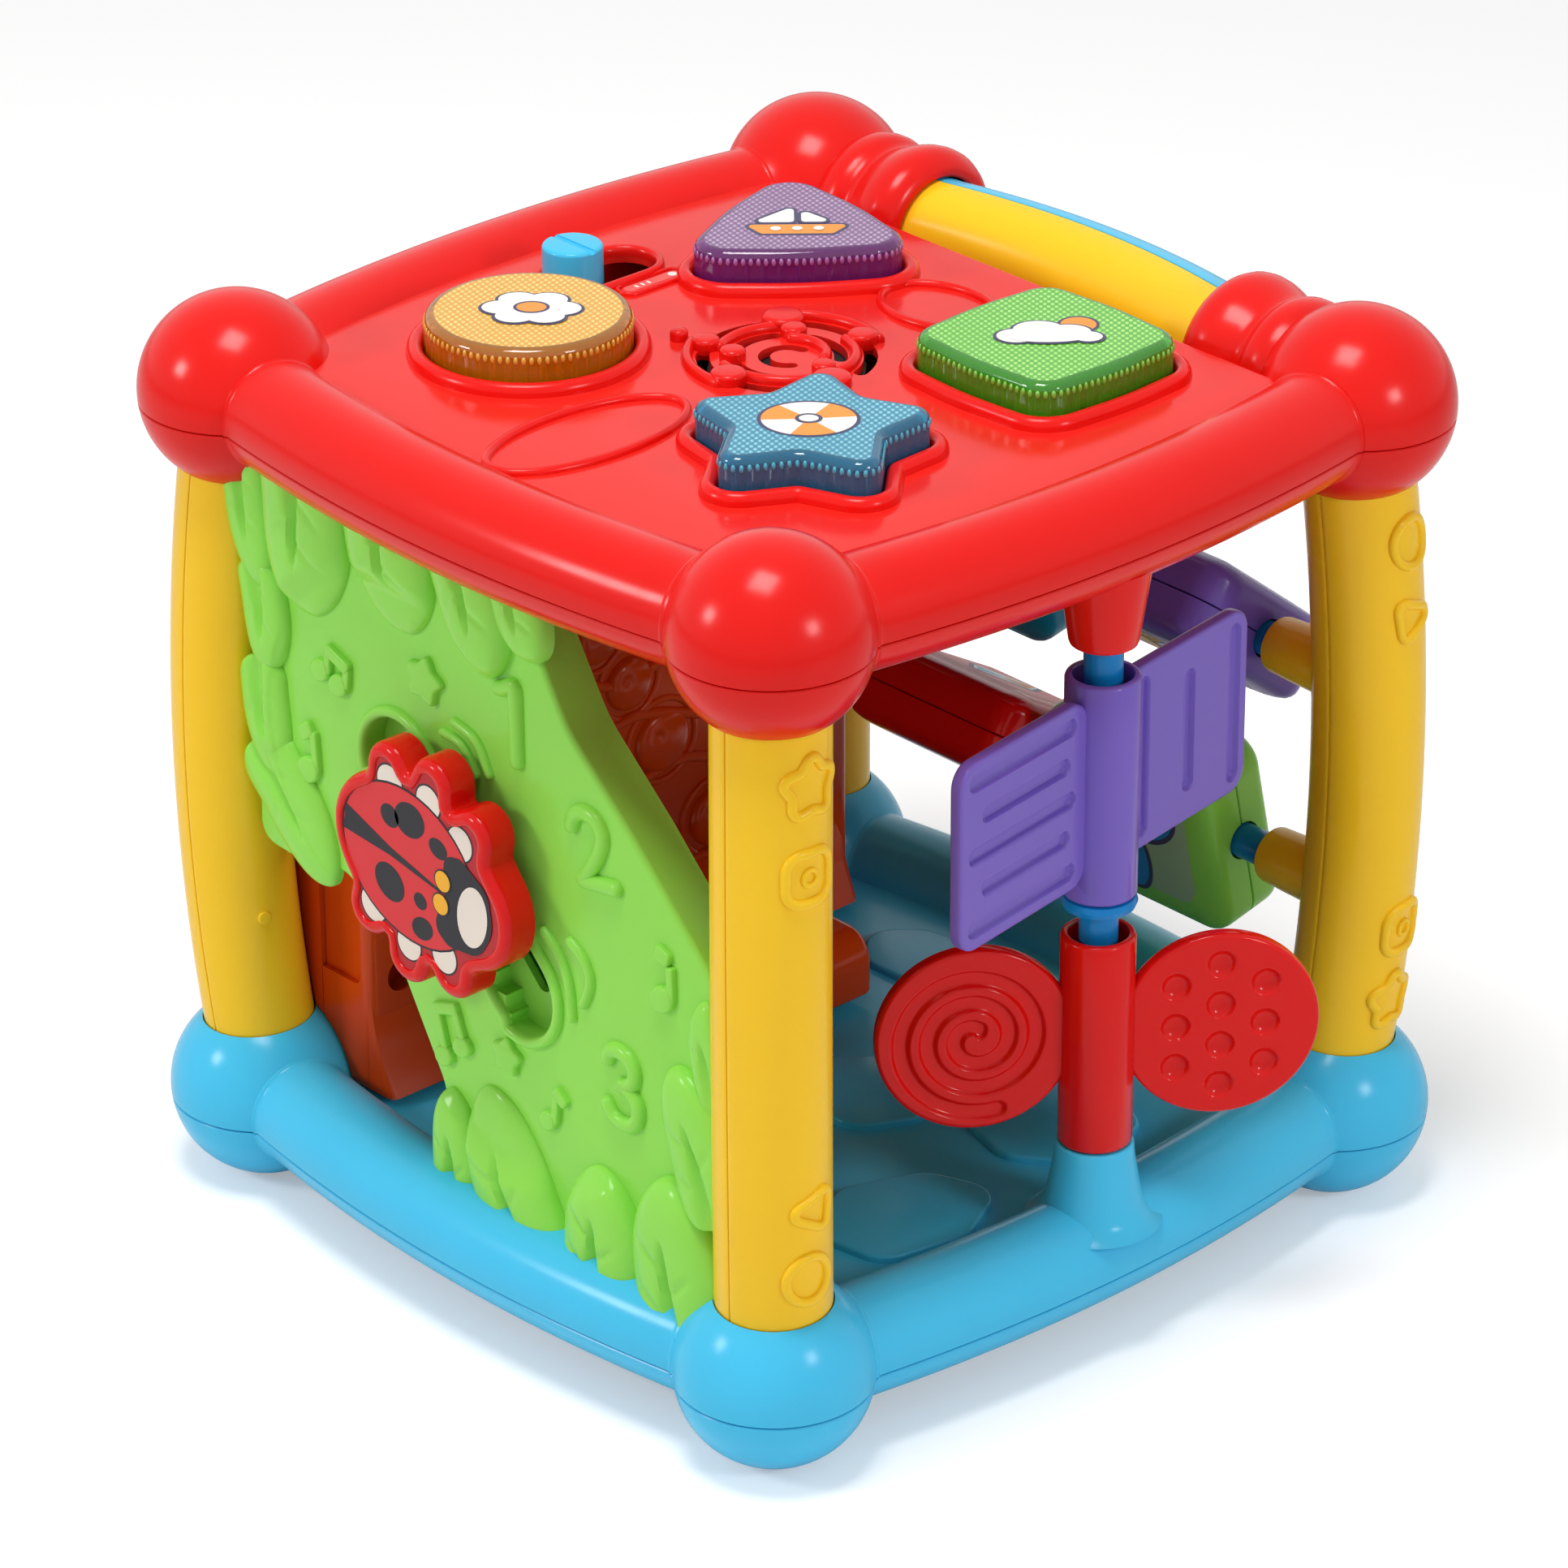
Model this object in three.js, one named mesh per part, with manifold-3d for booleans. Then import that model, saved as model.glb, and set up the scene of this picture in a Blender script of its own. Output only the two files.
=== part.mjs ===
// An activity cube for babies: corner balls, bowed rails and legs, with something to play with on each side.
// Millimetres, +Z up. Inside this file the frame's centre is the middle of its four feet, on the floor.
// The green slider panel faces -Y, the upright rod with its spinners +X, the handle and flip blocks +Y,
// and the orange housing -X.
import * as THREE from "three";
import { mergeVertices } from "three/addons/utils/BufferGeometryUtils.js";
import Module from "manifold-3d";

const wasm = await Module();
wasm.setup();

// Frame
const ballPitch = 193; // between the corner balls' centres, along X, Y and Z alike
const ballRadius = 24.5;
const footFlat = 0.4; // what is cut off each lower ball so that it stands
const railRadius = 14;
const railBow = 10.5; // how far a rail's middle stands out past its ends
const railInset = 8; // a rail's end stops this far short of the ball's centre
const seamDrop = 2.5; // the upper and lower shells part this far under the balls' centres
const legRadius = 14.2;
const legBowEnd = 0.2; // how far a leg stands out from the balls' centres, along the diagonal, at its ends
const legBowMiddle = 5.7; // and half way up
const legSeat = 8; // how deep a leg stands in its ball
const gap = 0.3; // between pieces that are fitted to each other
const overrun = 6; // how far a cutter passes what it cuts

// Floor of the base
const floorLift = 1.9; // over the lower balls' centres
const floorThickness = 10;
const padHeight = 2;
const padRounding = 9;
const padHold = 2; // how deep a stone stands in the floor

// Top housing
const panelLift = 9; // the panel's face over the upper balls' centres
const wall = 2.4;
const ceilingDrop = 13.1; // underside of the top housing, under the same centres
const handleWallInset = 19.5; // the housing ends this far inside the centres, and the finger gap begins
const cornerWallInset = 8.5; // beside the gap it reaches further, under the collars
const cornerWallPlay = 10; // from the end of the grip
const cavityInset = 12.5; // how far inside the balls' centres the walls round the electronics stand
const cavityRounding = 34; // enough to pass inside the corner balls
const cornerWallDrop = 3; // how far the corner stands under the panel's face

// Handle
const gripHalf = 51; // half the length of the grip between its collars
const handleOut = 1.5; // how far the handle's ends stand out past the balls' centres
const handleBow = 6; // and its middle past its ends
const spigotRadius = 9;
const spigotLength = 8;
const spigotClearance = 0.9;
const collarMouth = 17; // radius of a collar where the grip enters it
const collarRadius = 21;
const collarNeck = 17.5;
const collarRing = 19.5;
const collarEndInset = 8.5; // inside the balls' centres
const postInset = 14; // a board post at the handle's side stands this much nearer the middle

// Buttons
const buttonRise = 10.5; // top of a lens over the panel
const buttonTravel = 2.5;
const buttonEdge = 2.2; // how far a lens is rounded in at its top
const flangeWidth = 2;
const flangeThickness = 2.4;
const buttonClearance = 0.5;
const bezelWidth = 3.8;
const bezelHeight = 3;
const roundButton = { xShare: -0.5833, yShare: -0.5119, radius: 25.4 }; // shares of half the cavity's width
const swellRadius = 92; // of the slightly swollen sides of the triangle and square
const triangleButton = {
  xShare: -0.5536, yShare: 0.5119, tipRadius: 35.2, innerRadius: 20.3, rounding: 9, innerRounding: swellRadius,
  turn: 21.5,
};
const squareButton = { xShare: 0.5655, yShare: 0.4571, cornerWidth: 23.6, sideWidth: 25.4, rounding: 8 };
const trianglePoints = 3;
const starPoints = 5;
const starButton = {
  xShare: 0.5476, yShare: -0.4524, tipRadius: 33, innerRadius: 19.6, rounding: 5, innerRounding: 5, turn: 59,
};

// Volume switch
const switchInset = 10.5; // from the cavity's wall to the switch's axis
const switchRestY = -7.5;
const switchTravel = 16.5;
const switchRadius = 7.7;
const switchRise = 10.8;
const switchChamfer = 0.9;
const switchPlate = 9.3;
const switchPin = 2;
const switchBezel = 2.4;
const switchBezelHeight = 2;

// Loudspeaker grille and the two oval fields
const grilleX = -3;
const grilleRadius = 21.4;
const grilleRows = [
  { radiusShare: 1, slots: 6 }, { radiusShare: 0.71, slots: 5 }, { radiusShare: 0.39, slots: 3 },
];
const grilleSlot = 2.2;
const grilleSlotShare = 0.62; // of a row's pitch that a slot takes
const grilleBossRadius = 3;
const grilleBossHeight = 2;
const nameOval = { yShare: -0.7976, long: 28.5, across: 12.5, alongY: true };
const smallOval = { yShare: 0.5714, long: 15.5, across: 11, alongY: false };
const ovalRim = 1.7;
const ovalRimHeight = 1.1;

// Electronics
const boardThickness = 1.6;
const boardInset = 8; // from the cavity's walls to the board's edge
const boardClearance = 0.6;
const boardRounding = 30;
const boardPostRadius = 3.2;
const boardPostInset = 12; // from the board's edge
const speakerRadius = 19.5;
const speakerHeight = 8.6;
const speakerMagnet = 11;
const speakerFrame = 2;
const switchBlockHalf = 4.5; // half the width of the slide switch on the board
const switchBlockHeight = 1.2;
const domeRadius = 7;
const domeTop = 3.2;
const domeSkirt = 1;
const domeSolid = 4; // height of a dome that is pressed flat
const batteryRadius = 5.2;
const batteryLength = 44.5;
const batteryTipRadius = 1.9;
const batteryTip = 1;
const bayPlay = 1.6; // between the battery bay and the wall beside the handle
const doorHalfX = 15;
const doorHalfY = 27;
const doorRounding = 4;

// Upright rod with spinners, on +X
const spinRodRadius = 4.8;
const spinBore = 5.4;
const rodSeat = 8;
const lowerConeHeight = 27.6;
const lowerConeFoot = 14.2;
const lowerConeTip = 10;
const upperConeDrop = 29.5; // its lower end under the upper balls' centres
const upperConeFoot = 12.4;
const upperConeTip = 8.4;
const tubeRadius = 9.2;
const mouthRadius = 7.2; // the tubes' bores widen at the top
const mouthDepth = 6;
const tubeChamfer = 1;
const ringShare = 0.4806; // place of the ring on the rod, between the two cones
const ringPlay = 7.4; // from the disc spinner up to the ring
const collarHeight = 3.3;
const flagPlay = 8; // from the flag spinner up to the cone
const flagReach = 57.5;
const flagThickness = 3.6;
const flagFoot = 6; // the flags start this far over the tube's end
const flagHead = 3;
const flagRounding = 6;
const flagTurn = 9; // degrees, about the rod
const flagRows = 5;
const flagColumns = 3;
const flagMargin = 5;
const flagGroove = 3; // width of a groove
const grooveDepth = 0.9;
const discRadius = 24.5;
const discReach = 30; // from the rod to a disc's centre
const discLift = 1.75; // over the middle of its tube
const discThickness = 4.4;
const discTurn = -35.3;
const dimpleRadius = 4.4; // of the ball that presses a dimple
const dimpleDepth = 1.2;
const dimplePitch = 11;
const dimpleCounts = [3, 4, 3]; // in each of its columns
const spiralTurns = 2.6;
const spiralFirstAngle = -60; // degrees
const spiralStart = 3.2;
const spiralEnd = 18.5;
const spiralWidth = 3;
const spiralSteps = 26;

// Flip blocks on +Y
const flipRodOut = 1.5; // from the balls' centres
const upperFlipLift = 22.4; // over the middle of the frame
const lowerFlipDrop = 36.6; // under it
const flipRodRadius = 4.6;
const pegRadius = 7.4;
const pegFlare = 0.8;
const pegSeat = 6;
const flipLength = 60;
const flipPlay = 12; // what two blocks and the middle of their rod leave free before each peg
const flipHalfHeight = 26.5;
const flipEdge = 7.5; // depth of a half at its straight edge
const flipShoulder = 10.3; // at the end of its rounded edge
const flipShoulderInset = 2;
const flipCrown = 12.3; // and in its slightly swollen middle
const flipCrownInset = 13;
const flipRounding = 9;
const flipBore = 5.2;
const tealBlock = { side: -1, offMiddle: 3.5, turn: 12 }; // its near end off the rod's middle, and its turn
const purpleBlock = { side: 1, offMiddle: 8, turn: 52 };
const redBlock = { side: -1, offMiddle: 1.5, turn: 60 };
const greenBlock = { side: 1, offMiddle: 2, turn: 12.5 };

// Green panel with the sliding ladybird, on -Y
const panelOut = 8.5; // the panel's outer face from the balls' centres
const panelSkin = 11; // depth of the front moulding
const panelCover = 2; // thickness of the back cover
const trackMiddleX = -4.5; // the middle of the slider's path
const trackLift = 0.3; // and how far it lies over the middle of the frame
const trackSlope = -45; // degrees
const trackTravel = 62;
const trackRest = -17.3; // where the slider stands in the photograph, from the middle
const pitchRadius = 9; // of the ladybird's toothed hub
const lobes = 9;
const lobeRadius = 1.8;
const lobeClearance = 0.3;
const lobeSides = 8;
const hubBody = 8;
const recessDepth = 5.5;
const trackFloor = 2;
const trackRim = 2.2;
const trackRimHeight = 1.2;
const axleSlot = 2.6; // half the width of the slot in the track's floor
const slideOver = 1; // how far the slot goes on past the slider's travel
const axleRadius = 2;
const axleBoss = 2.3;
const carriageRadius = 7.4;
const screwHead = 3.2;
const screwHeadHeight = 2;
const screwSunk = 1; // how far the screw's head lies under the ladybird's face
const bugOut = 13.6; // the ladybird's face from the panel's
const bugClear = 4; // and its back
const bugEdge = 1.6;
const bugMiddleX = 10.8; // the middle of the ladybird's body, from its axle
const bugMiddleZ = -7.8;
const bugTurn = -12; // degrees, of the line from tail to head
const bugLong = 33; // from the middle of the body to its tail
const bugAcross = 24.5; // and to its side
const bugHeadOut = 19; // and to the middle of its head
const bugHeadRadius = 15;
const bugFootRadius = 8.5;

// Orange housing on -X
const housingStand = 7.5; // its outer face from the balls' centres
const housingDepth = 38;
const housingNearInset = 10.5; // inside the balls' centres
const housingFarInset = 16.5;
const housingPlay = 1.2; // under the top housing
const housingRounding = 3;
const benchDepth = 48;
const benchHalf = 44;
const benchHeight = 20; // over the floor
const benchRounding = 9;
const benchFoot = 1; // rounding at its foot
const screwHole = 4.5;
const screwHoleDepth = 8;
const screwHoleInset = 12; // from the housing's end
const screwHoleLift = 34; // over the floor

// How finely curves are cut into facets
const ballSides = 14;
const ballRings = 8;
const tubeSides = 10;
const bowSteps = 4;
const arcSteps = 2;
const cornerSteps = 2;
const roundSides = 20;
const smallSides = 6;
const dimpleSides = 6;
const dimpleRings = 4;

const half = ballPitch / 2;
const lowerBallZ = ballRadius - footFlat;
const footRadius = Math.sqrt(ballRadius ** 2 - lowerBallZ ** 2);
const upperBallZ = lowerBallZ + ballPitch;
const outside = half + ballRadius; // from the middle to the outermost face

// Places that follow the frame
const frameMiddleZ = lowerBallZ + half;
const floorTop = lowerBallZ + floorLift;
const panelTop = upperBallZ + panelLift;
const ceilingZ = upperBallZ - ceilingDrop;
const handleWallY = half - handleWallInset;
const cornerWallY = half - cornerWallInset;
const cornerWallX = gripHalf + cornerWallPlay;
const collarEnd = half - collarEndInset;
const cavityHalf = half - cavityInset;
const boardHalf = cavityHalf - boardInset;
const boardPostAt = boardHalf - boardPostInset;
const switchX = switchInset - cavityHalf;
const batteryY = handleWallY - wall - bayPlay - doorHalfY; // middle of the battery bay
const lowerConeTop = floorTop + lowerConeHeight;
const upperConeBottom = upperBallZ - upperConeDrop;
const collarZ = lowerConeTop + ringShare * (upperConeBottom - lowerConeTop); // underside of the ring on the rod
const discTubeTop = collarZ - ringPlay;
const discZ = (lowerConeTop + gap + discTubeTop) / 2 + discLift;
const flagTubeTop = upperConeBottom - flagPlay;
const flipRodY = half + flipRodOut;
const upperFlipZ = frameMiddleZ + upperFlipLift;
const lowerFlipZ = frameMiddleZ - lowerFlipDrop;
const pegTip = flipLength + flipPlay; // the pegs end this far from the middle
const panelFace = -half - panelOut;
const bugFace = panelFace - bugOut;
const bugBack = panelFace - bugClear;
const housingOut = -half - housingStand;
const housingIn = housingOut + housingDepth;
const housingSplit = (housingOut + housingIn) / 2;
const housingNearY = housingNearInset - half;
const housingFarY = half - housingFarInset;
const housingTop = ceilingZ - housingPlay;
const benchReach = housingIn + benchDepth;
const benchTop = floorTop + benchHeight;
const screwHoleY = housingNearY + screwHoleInset;
const screwHoleZ = floorTop + screwHoleLift;
const legInBall = Math.sqrt(ballRadius ** 2 - legRadius ** 2);
const legBottom = lowerBallZ + legInBall - legSeat;
const legTop = upperBallZ - legInBall + legSeat;
const degrees = THREE.MathUtils.degToRad;
const corners = [[1, 1], [1, -1], [-1, -1], [-1, 1]];
const up = new THREE.Vector3(0, 0, 1);

// Solids from three.js geometries, and back.
function solidOf(geometry) {
  geometry.deleteAttribute("normal");
  geometry.deleteAttribute("uv");
  const merged = mergeVertices(geometry);
  const at = merged.attributes.position.array;
  const faces = [];
  for (let i = 0; i < merged.index.count; i += 3) {
    const [a, b, c] = merged.index.array.slice(i, i + 3);
    if (a !== b && b !== c && c !== a) faces.push([a, b, c]);
  }
  const point = (i) => new THREE.Vector3().fromArray(at, i * 3);
  const volume = faces.reduce((sum, [a, b, c]) => sum + point(a).dot(point(b).cross(point(c))), 0);
  const triVerts = new Uint32Array(faces.flatMap(([a, b, c]) => (volume < 0 ? [a, c, b] : [a, b, c])));
  return new wasm.Manifold(new wasm.Mesh({ numProp: 3, vertProperties: at, triVerts }));
}

function geometryOf(solid) {
  const mesh = solid.getMesh();
  const geometry = new THREE.BufferGeometry();
  geometry.setAttribute("position", new THREE.BufferAttribute(mesh.vertProperties, 3));
  geometry.setIndex(new THREE.BufferAttribute(mesh.triVerts, 1));
  geometry.computeVertexNormals();
  return geometry;
}

const join = (...solids) => solids.reduce((whole, solid) => whole.add(solid));
const cut = (solid, ...tools) => tools.reduce((left, tool) => left.subtract(tool), solid);

// A closed skin over rings of points, each ring capped from its middle at the two ends.
function loft(rings) {
  const count = rings[0].length;
  const points = rings.flat();
  const index = [];
  for (let k = 0; k + 1 < rings.length; k++)
    for (let i = 0; i < count; i++) {
      const [a, b] = [k * count + i, k * count + ((i + 1) % count)];
      index.push(a, b, b + count, a, b + count, a + count);
    }
  [rings[0], rings.at(-1)].forEach((ring, end) => {
    const middle = ring.reduce((sum, p) => sum.add(p), new THREE.Vector3()).divideScalar(count);
    const first = end ? points.length - 1 - count : 0;
    points.push(middle);
    for (let i = 0; i < count; i++) {
      const [a, b] = [first + i, first + ((i + 1) % count)];
      index.push(...(end ? [a, b, points.length - 1] : [b, a, points.length - 1]));
    }
  });
  const geometry = new THREE.BufferGeometry().setFromPoints(points);
  geometry.setIndex(index);
  return solidOf(geometry);
}

// Solids of standard forms.
function box([x0, y0, z0], [x1, y1, z1]) {
  const geometry = new THREE.BoxGeometry(x1 - x0, y1 - y0, z1 - z0);
  return solidOf(geometry.translate((x0 + x1) / 2, (y0 + y1) / 2, (z0 + z1) / 2));
}

function ball(radius, [x, y, z], sides = ballSides, rings = ballRings) {
  const geometry = new THREE.SphereGeometry(radius, sides, rings).rotateX(Math.PI / 2);
  return solidOf(geometry.translate(x, y, z));
}

// A round bar or cone from one height to another, its axis along Z through x and y.
function upright([x, y], z0, z1, radius, topRadius = radius, sides = tubeSides) {
  const geometry = new THREE.CylinderGeometry(topRadius, radius, z1 - z0, sides).rotateX(Math.PI / 2);
  return solidOf(geometry.translate(x, y, (z0 + z1) / 2));
}

// The same lying along X, through y and z, and along Y, through x and z.
function alongX([y, z], x0, x1, radius, endRadius = radius, sides = tubeSides) {
  const geometry = new THREE.CylinderGeometry(endRadius, radius, x1 - x0, sides).rotateZ(-Math.PI / 2);
  return solidOf(geometry.translate((x0 + x1) / 2, y, z));
}

function alongY([x, z], y0, y1, radius, endRadius = radius, sides = tubeSides) {
  const geometry = new THREE.CylinderGeometry(endRadius, radius, y1 - y0, sides);
  return solidOf(geometry.translate(x, (y0 + y1) / 2, z));
}

// A profile of [radius, z] turned about an upright axis.
function turned([x, y], profile, sides = tubeSides) {
  const points = profile.map(([radius, z]) => new THREE.Vector2(radius, z));
  const geometry = new THREE.LatheGeometry(points, sides).rotateX(Math.PI / 2).scale(1, -1, 1);
  return solidOf(geometry.translate(x, y, 0));
}

// An outline pushed up from one height to another, and one in x and z pushed from y0 to y1.
function prism(outline, z0, z1) {
  const options = { depth: z1 - z0, bevelEnabled: false };
  return solidOf(new THREE.ExtrudeGeometry(new THREE.Shape(outline), options).translate(0, 0, z0));
}

function slabY(outline, y0, y1) {
  const options = { depth: y1 - y0, bevelEnabled: false };
  const geometry = new THREE.ExtrudeGeometry(new THREE.Shape(outline), options);
  return solidOf(geometry.rotateX(Math.PI / 2).translate(0, y1, 0));
}

// Outlines. A corner is [x, y, rounding], and corners run anticlockwise.
function rounded(cornerList, steps = cornerSteps) {
  return cornerList.flatMap(([x, y, rounding], i) => {
    const here = new THREE.Vector2(x, y);
    const before = new THREE.Vector2(...cornerList.at(i - 1).slice(0, 2)).sub(here);
    const after = new THREE.Vector2(...cornerList[(i + 1) % cornerList.length].slice(0, 2)).sub(here);
    const room = Math.min(before.length(), after.length()) / 2;
    before.normalize();
    after.normalize();
    const angle = Math.acos(THREE.MathUtils.clamp(before.dot(after), -1, 1)) / 2;
    const reach = Math.min(rounding / Math.tan(angle), room);
    if (reach <= 0) return [here];
    const radius = reach * Math.tan(angle);
    const centre = before.clone().add(after).setLength(radius / Math.sin(angle)).add(here);
    const start = before.multiplyScalar(reach).add(here).sub(centre);
    const finish = after.multiplyScalar(reach).add(here).sub(centre);
    const sweep = Math.atan2(start.cross(finish), start.dot(finish));
    return Array.from({ length: steps + 1 }, (_, k) =>
      start.clone().rotateAround(new THREE.Vector2(), (sweep * k) / steps).add(centre));
  });
}

// The same corners moved out by a width: outer corners grow rounder and inner ones tighter.
function grown(cornerList, width) {
  return cornerList.map(([x, y, rounding], i) => {
    const here = new THREE.Vector2(x, y);
    const arriving = here.clone().sub(new THREE.Vector2(...cornerList.at(i - 1).slice(0, 2))).normalize();
    const [nextX, nextY] = cornerList[(i + 1) % cornerList.length];
    const leaving = new THREE.Vector2(nextX, nextY).sub(here).normalize();
    const out = new THREE.Vector2(arriving.y + leaving.y, -arriving.x - leaving.x);
    here.addScaledVector(out, width / (1 + arriving.dot(leaving)));
    const turn = Math.sign(arriving.cross(leaving));
    return [here.x, here.y, Math.max(rounding + turn * width, gap)];
  });
}

const rectangle = ([x0, y0], [x1, y1], r) => [[x0, y0, r], [x1, y0, r], [x1, y1, r], [x0, y1, r]];
const polar = (radius, angle) => [radius * Math.cos(degrees(angle)), radius * Math.sin(degrees(angle))];

function oval([x, y], a, b, sides = roundSides) {
  return Array.from({ length: sides }, (_, k) => {
    const t = (2 * Math.PI * k) / sides;
    return new THREE.Vector2(x + a * Math.cos(t), y + b * Math.sin(t));
  });
}

// Frame pieces
const bowAt = (x) => railBow * (1 - (x / half) ** 2);

// A round rail along X at the +Y side of the frame, turned by quarter turns to its own side.
function rail(z, radius, quarter) {
  const end = half - railInset;
  const rings = Array.from({ length: bowSteps + 1 }, (_, k) => {
    const x = end * ((2 * k) / bowSteps - 1);
    return Array.from({ length: tubeSides }, (_, i) => {
      const t = (2 * Math.PI * i) / tubeSides;
      const y = half + bowAt(x) + radius * Math.cos(t);
      return new THREE.Vector3(x, y, z + radius * Math.sin(t)).applyAxisAngle(up, (quarter * Math.PI) / 2);
    });
  });
  return loft(rings);
}

const ballsAt = (z, radius) => corners.map(([sx, sy]) => ball(radius, [sx * half, sy * half, z]));
const ring = (z, quarters, extra = 0) =>
  join(...ballsAt(z, ballRadius + extra), ...quarters.map((quarter) => rail(z, railRadius + extra, quarter)));

// How far out along the diagonal a leg's centre lies at a height, shared between x and y.
function legAt(z) {
  const s = (2 * z - legTop - legBottom) / (legTop - legBottom);
  return half + (legBowEnd + (legBowMiddle - legBowEnd) * (1 - s * s)) * Math.SQRT1_2;
}

// Angles round a tube that is made in two halves, which part at a quarter turn.
const halfAngle = (i) => Math.PI * ((2 * i) / tubeSides - 1 / 2);

// One half of a leg. side is 1 for the half away from the middle of the frame and -1 for the near one.
function legHalf([sx, sy], side) {
  const rings = Array.from({ length: bowSteps + 1 }, (_, k) => {
    const z = THREE.MathUtils.lerp(legBottom, legTop, k / bowSteps);
    return Array.from({ length: tubeSides / 2 + 1 }, (_, i) => {
      const x = sx * (legAt(z) + side * Math.max(legRadius * Math.cos(halfAngle(i)), gap / 2));
      return new THREE.Vector3(x, sy * legAt(z) + legRadius * Math.sin(halfAngle(i)), z);
    });
  });
  return loft(rings);
}

// A leg with room around it, to cut what it passes.
function legRoom([sx, sy], extra = gap) {
  const rings = Array.from({ length: bowSteps + 1 }, (_, k) => {
    const z = THREE.MathUtils.lerp(legBottom - gap, legTop + gap, k / bowSteps);
    const radius = legRadius + extra;
    return Array.from({ length: tubeSides }, (_, i) => new THREE.Vector3(
      sx * legAt(z) + radius * Math.cos(halfAngle(i)), sy * legAt(z) + radius * Math.sin(halfAngle(i)), z));
  });
  return loft(rings);
}

const legRooms = corners.map((corner) => legRoom(corner));
const halfSpace = (z0, z1) => box([-outside * 2, -outside * 2, z0], [outside * 2, outside * 2, z1]);

// Buttons: corners of each outline, about its own centre. Tips and the points between them take turns.
function pointed({ tipRadius, innerRadius, rounding, innerRounding, turn }, count) {
  return Array.from({ length: 2 * count }, (_, k) => {
    const angle = turn + (180 * k) / count;
    return k % 2 ? [...polar(innerRadius, angle), innerRounding] : [...polar(tipRadius, angle), rounding];
  });
}

const squareCorners = ({ cornerWidth, sideWidth, rounding }) =>
  corners.toReversed().flatMap(([sx, sy], k) => {
    const [nx, ny] = corners.toReversed()[(k + 1) % corners.length];
    const side = [((sx + nx) / 2) * sideWidth, ((sy + ny) / 2) * sideWidth, swellRadius];
    return [[sx * cornerWidth, sy * cornerWidth, rounding], side];
  });

const buttonPlace = ({ xShare, yShare }) => ({ x: xShare * cavityHalf, y: yShare * cavityHalf });
const triangle = pointed(triangleButton, trianglePoints);
const square = squareCorners(squareButton);
const star = pointed(starButton, starPoints);
const buttons = {
  round: {
    at: buttonPlace(roundButton), outline: (w) => oval([0, 0], roundButton.radius + w, roundButton.radius + w),
  },
  triangle: { at: buttonPlace(triangleButton), outline: (w) => rounded(grown(triangle, w)) },
  square: { at: buttonPlace(squareButton), outline: (w) => rounded(grown(square, w)) },
  star: { at: buttonPlace(starButton), outline: (w) => rounded(grown(star, w)) },
};
const placed = ({ at: { x, y }, outline }, width) =>
  outline(width).map((p) => new THREE.Vector2(p.x + x, p.y + y));

const lensTop = panelTop + buttonRise;
const panelUnder = panelTop - wall;
const flangeTop = panelUnder - gap;
const flangeBottom = flangeTop - flangeThickness;
const boardTop = flangeBottom - gap - buttonTravel - domeSolid;
const boardZ = boardTop - boardThickness;

// A lens: straight walls, a rounded top edge and a flange that holds it under the panel.
function lens(button) {
  const levels = [
    [flangeTop - gap, 0], [lensTop - buttonEdge, 0], [lensTop, buttonEdge],
  ];
  const rings = levels.map(([z, inset]) => placed(button, -inset).map((p) => new THREE.Vector3(p.x, p.y, z)));
  return join(loft(rings), prism(placed(button, flangeWidth), flangeBottom, flangeTop));
}

function dome({ at }) {
  const top = flangeBottom - gap;
  const profile = [
    [0, boardTop], [domeRadius, boardTop], [domeRadius, boardTop + domeSkirt], [domeTop, top], [0, top],
  ];
  return turned([at.x, at.y], profile);
}

// Volume switch
const oblong = (radius, y0, y1) => rounded(
  rectangle([switchX - radius, y0 - radius], [switchX + radius, y1 + radius], radius), 2 * cornerSteps);
const switchEnds = [switchRestY, switchRestY + switchTravel];

function switchKnob() {
  const top = panelTop + switchRise;
  return turned([switchX, switchRestY], [
    [0, boardTop + switchBlockHeight + gap], [switchPin, boardTop + switchBlockHeight + gap],
    [switchPin, flangeBottom], [switchPlate, flangeBottom], [switchPlate, flangeTop], [switchRadius, flangeTop],
    [switchRadius, top - switchChamfer], [switchRadius - switchChamfer, top], [0, top],
  ]);
}

// Grille: rows of curved slots, and small bosses between them.
function grilleSlots() {
  return grilleRows.flatMap(({ radiusShare, slots }, row) =>
    Array.from({ length: slots }, (_, k) => {
      const radius = grilleRadius * radiusShare;
      const pitch = 360 / slots;
      const middle = pitch * (k + row / 2);
      const ends = [middle - (pitch * grilleSlotShare) / 2, middle + (pitch * grilleSlotShare) / 2];
      const arc = (r, steps) => steps.map((s) => polar(r, THREE.MathUtils.lerp(...ends, s / arcSteps)));
      const steps = Array.from({ length: arcSteps + 1 }, (_, i) => i);
      const [outer, inner] = [radius + grilleSlot / 2, radius - grilleSlot / 2];
      const outline = [...arc(outer, steps), ...arc(inner, steps.toReversed())]
        .map(([x, y]) => new THREE.Vector2(x + grilleX, y));
      return prism(outline, panelUnder - overrun, panelTop + overrun);
    }));
}

function grilleBosses() {
  return grilleRows.slice(0, 2).flatMap(({ radiusShare, slots }, row) =>
    Array.from({ length: slots }, (_, k) => {
      const [x, y] = polar(grilleRadius * radiusShare, (360 / slots) * (k + row / 2 + 1 / 2));
      const top = panelTop + grilleBossHeight;
      const topRadius = grilleBossRadius - grilleSlot / 2;
      return upright([x + grilleX, y], panelUnder, top, grilleBossRadius, topRadius, smallSides);
    }));
}

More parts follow.
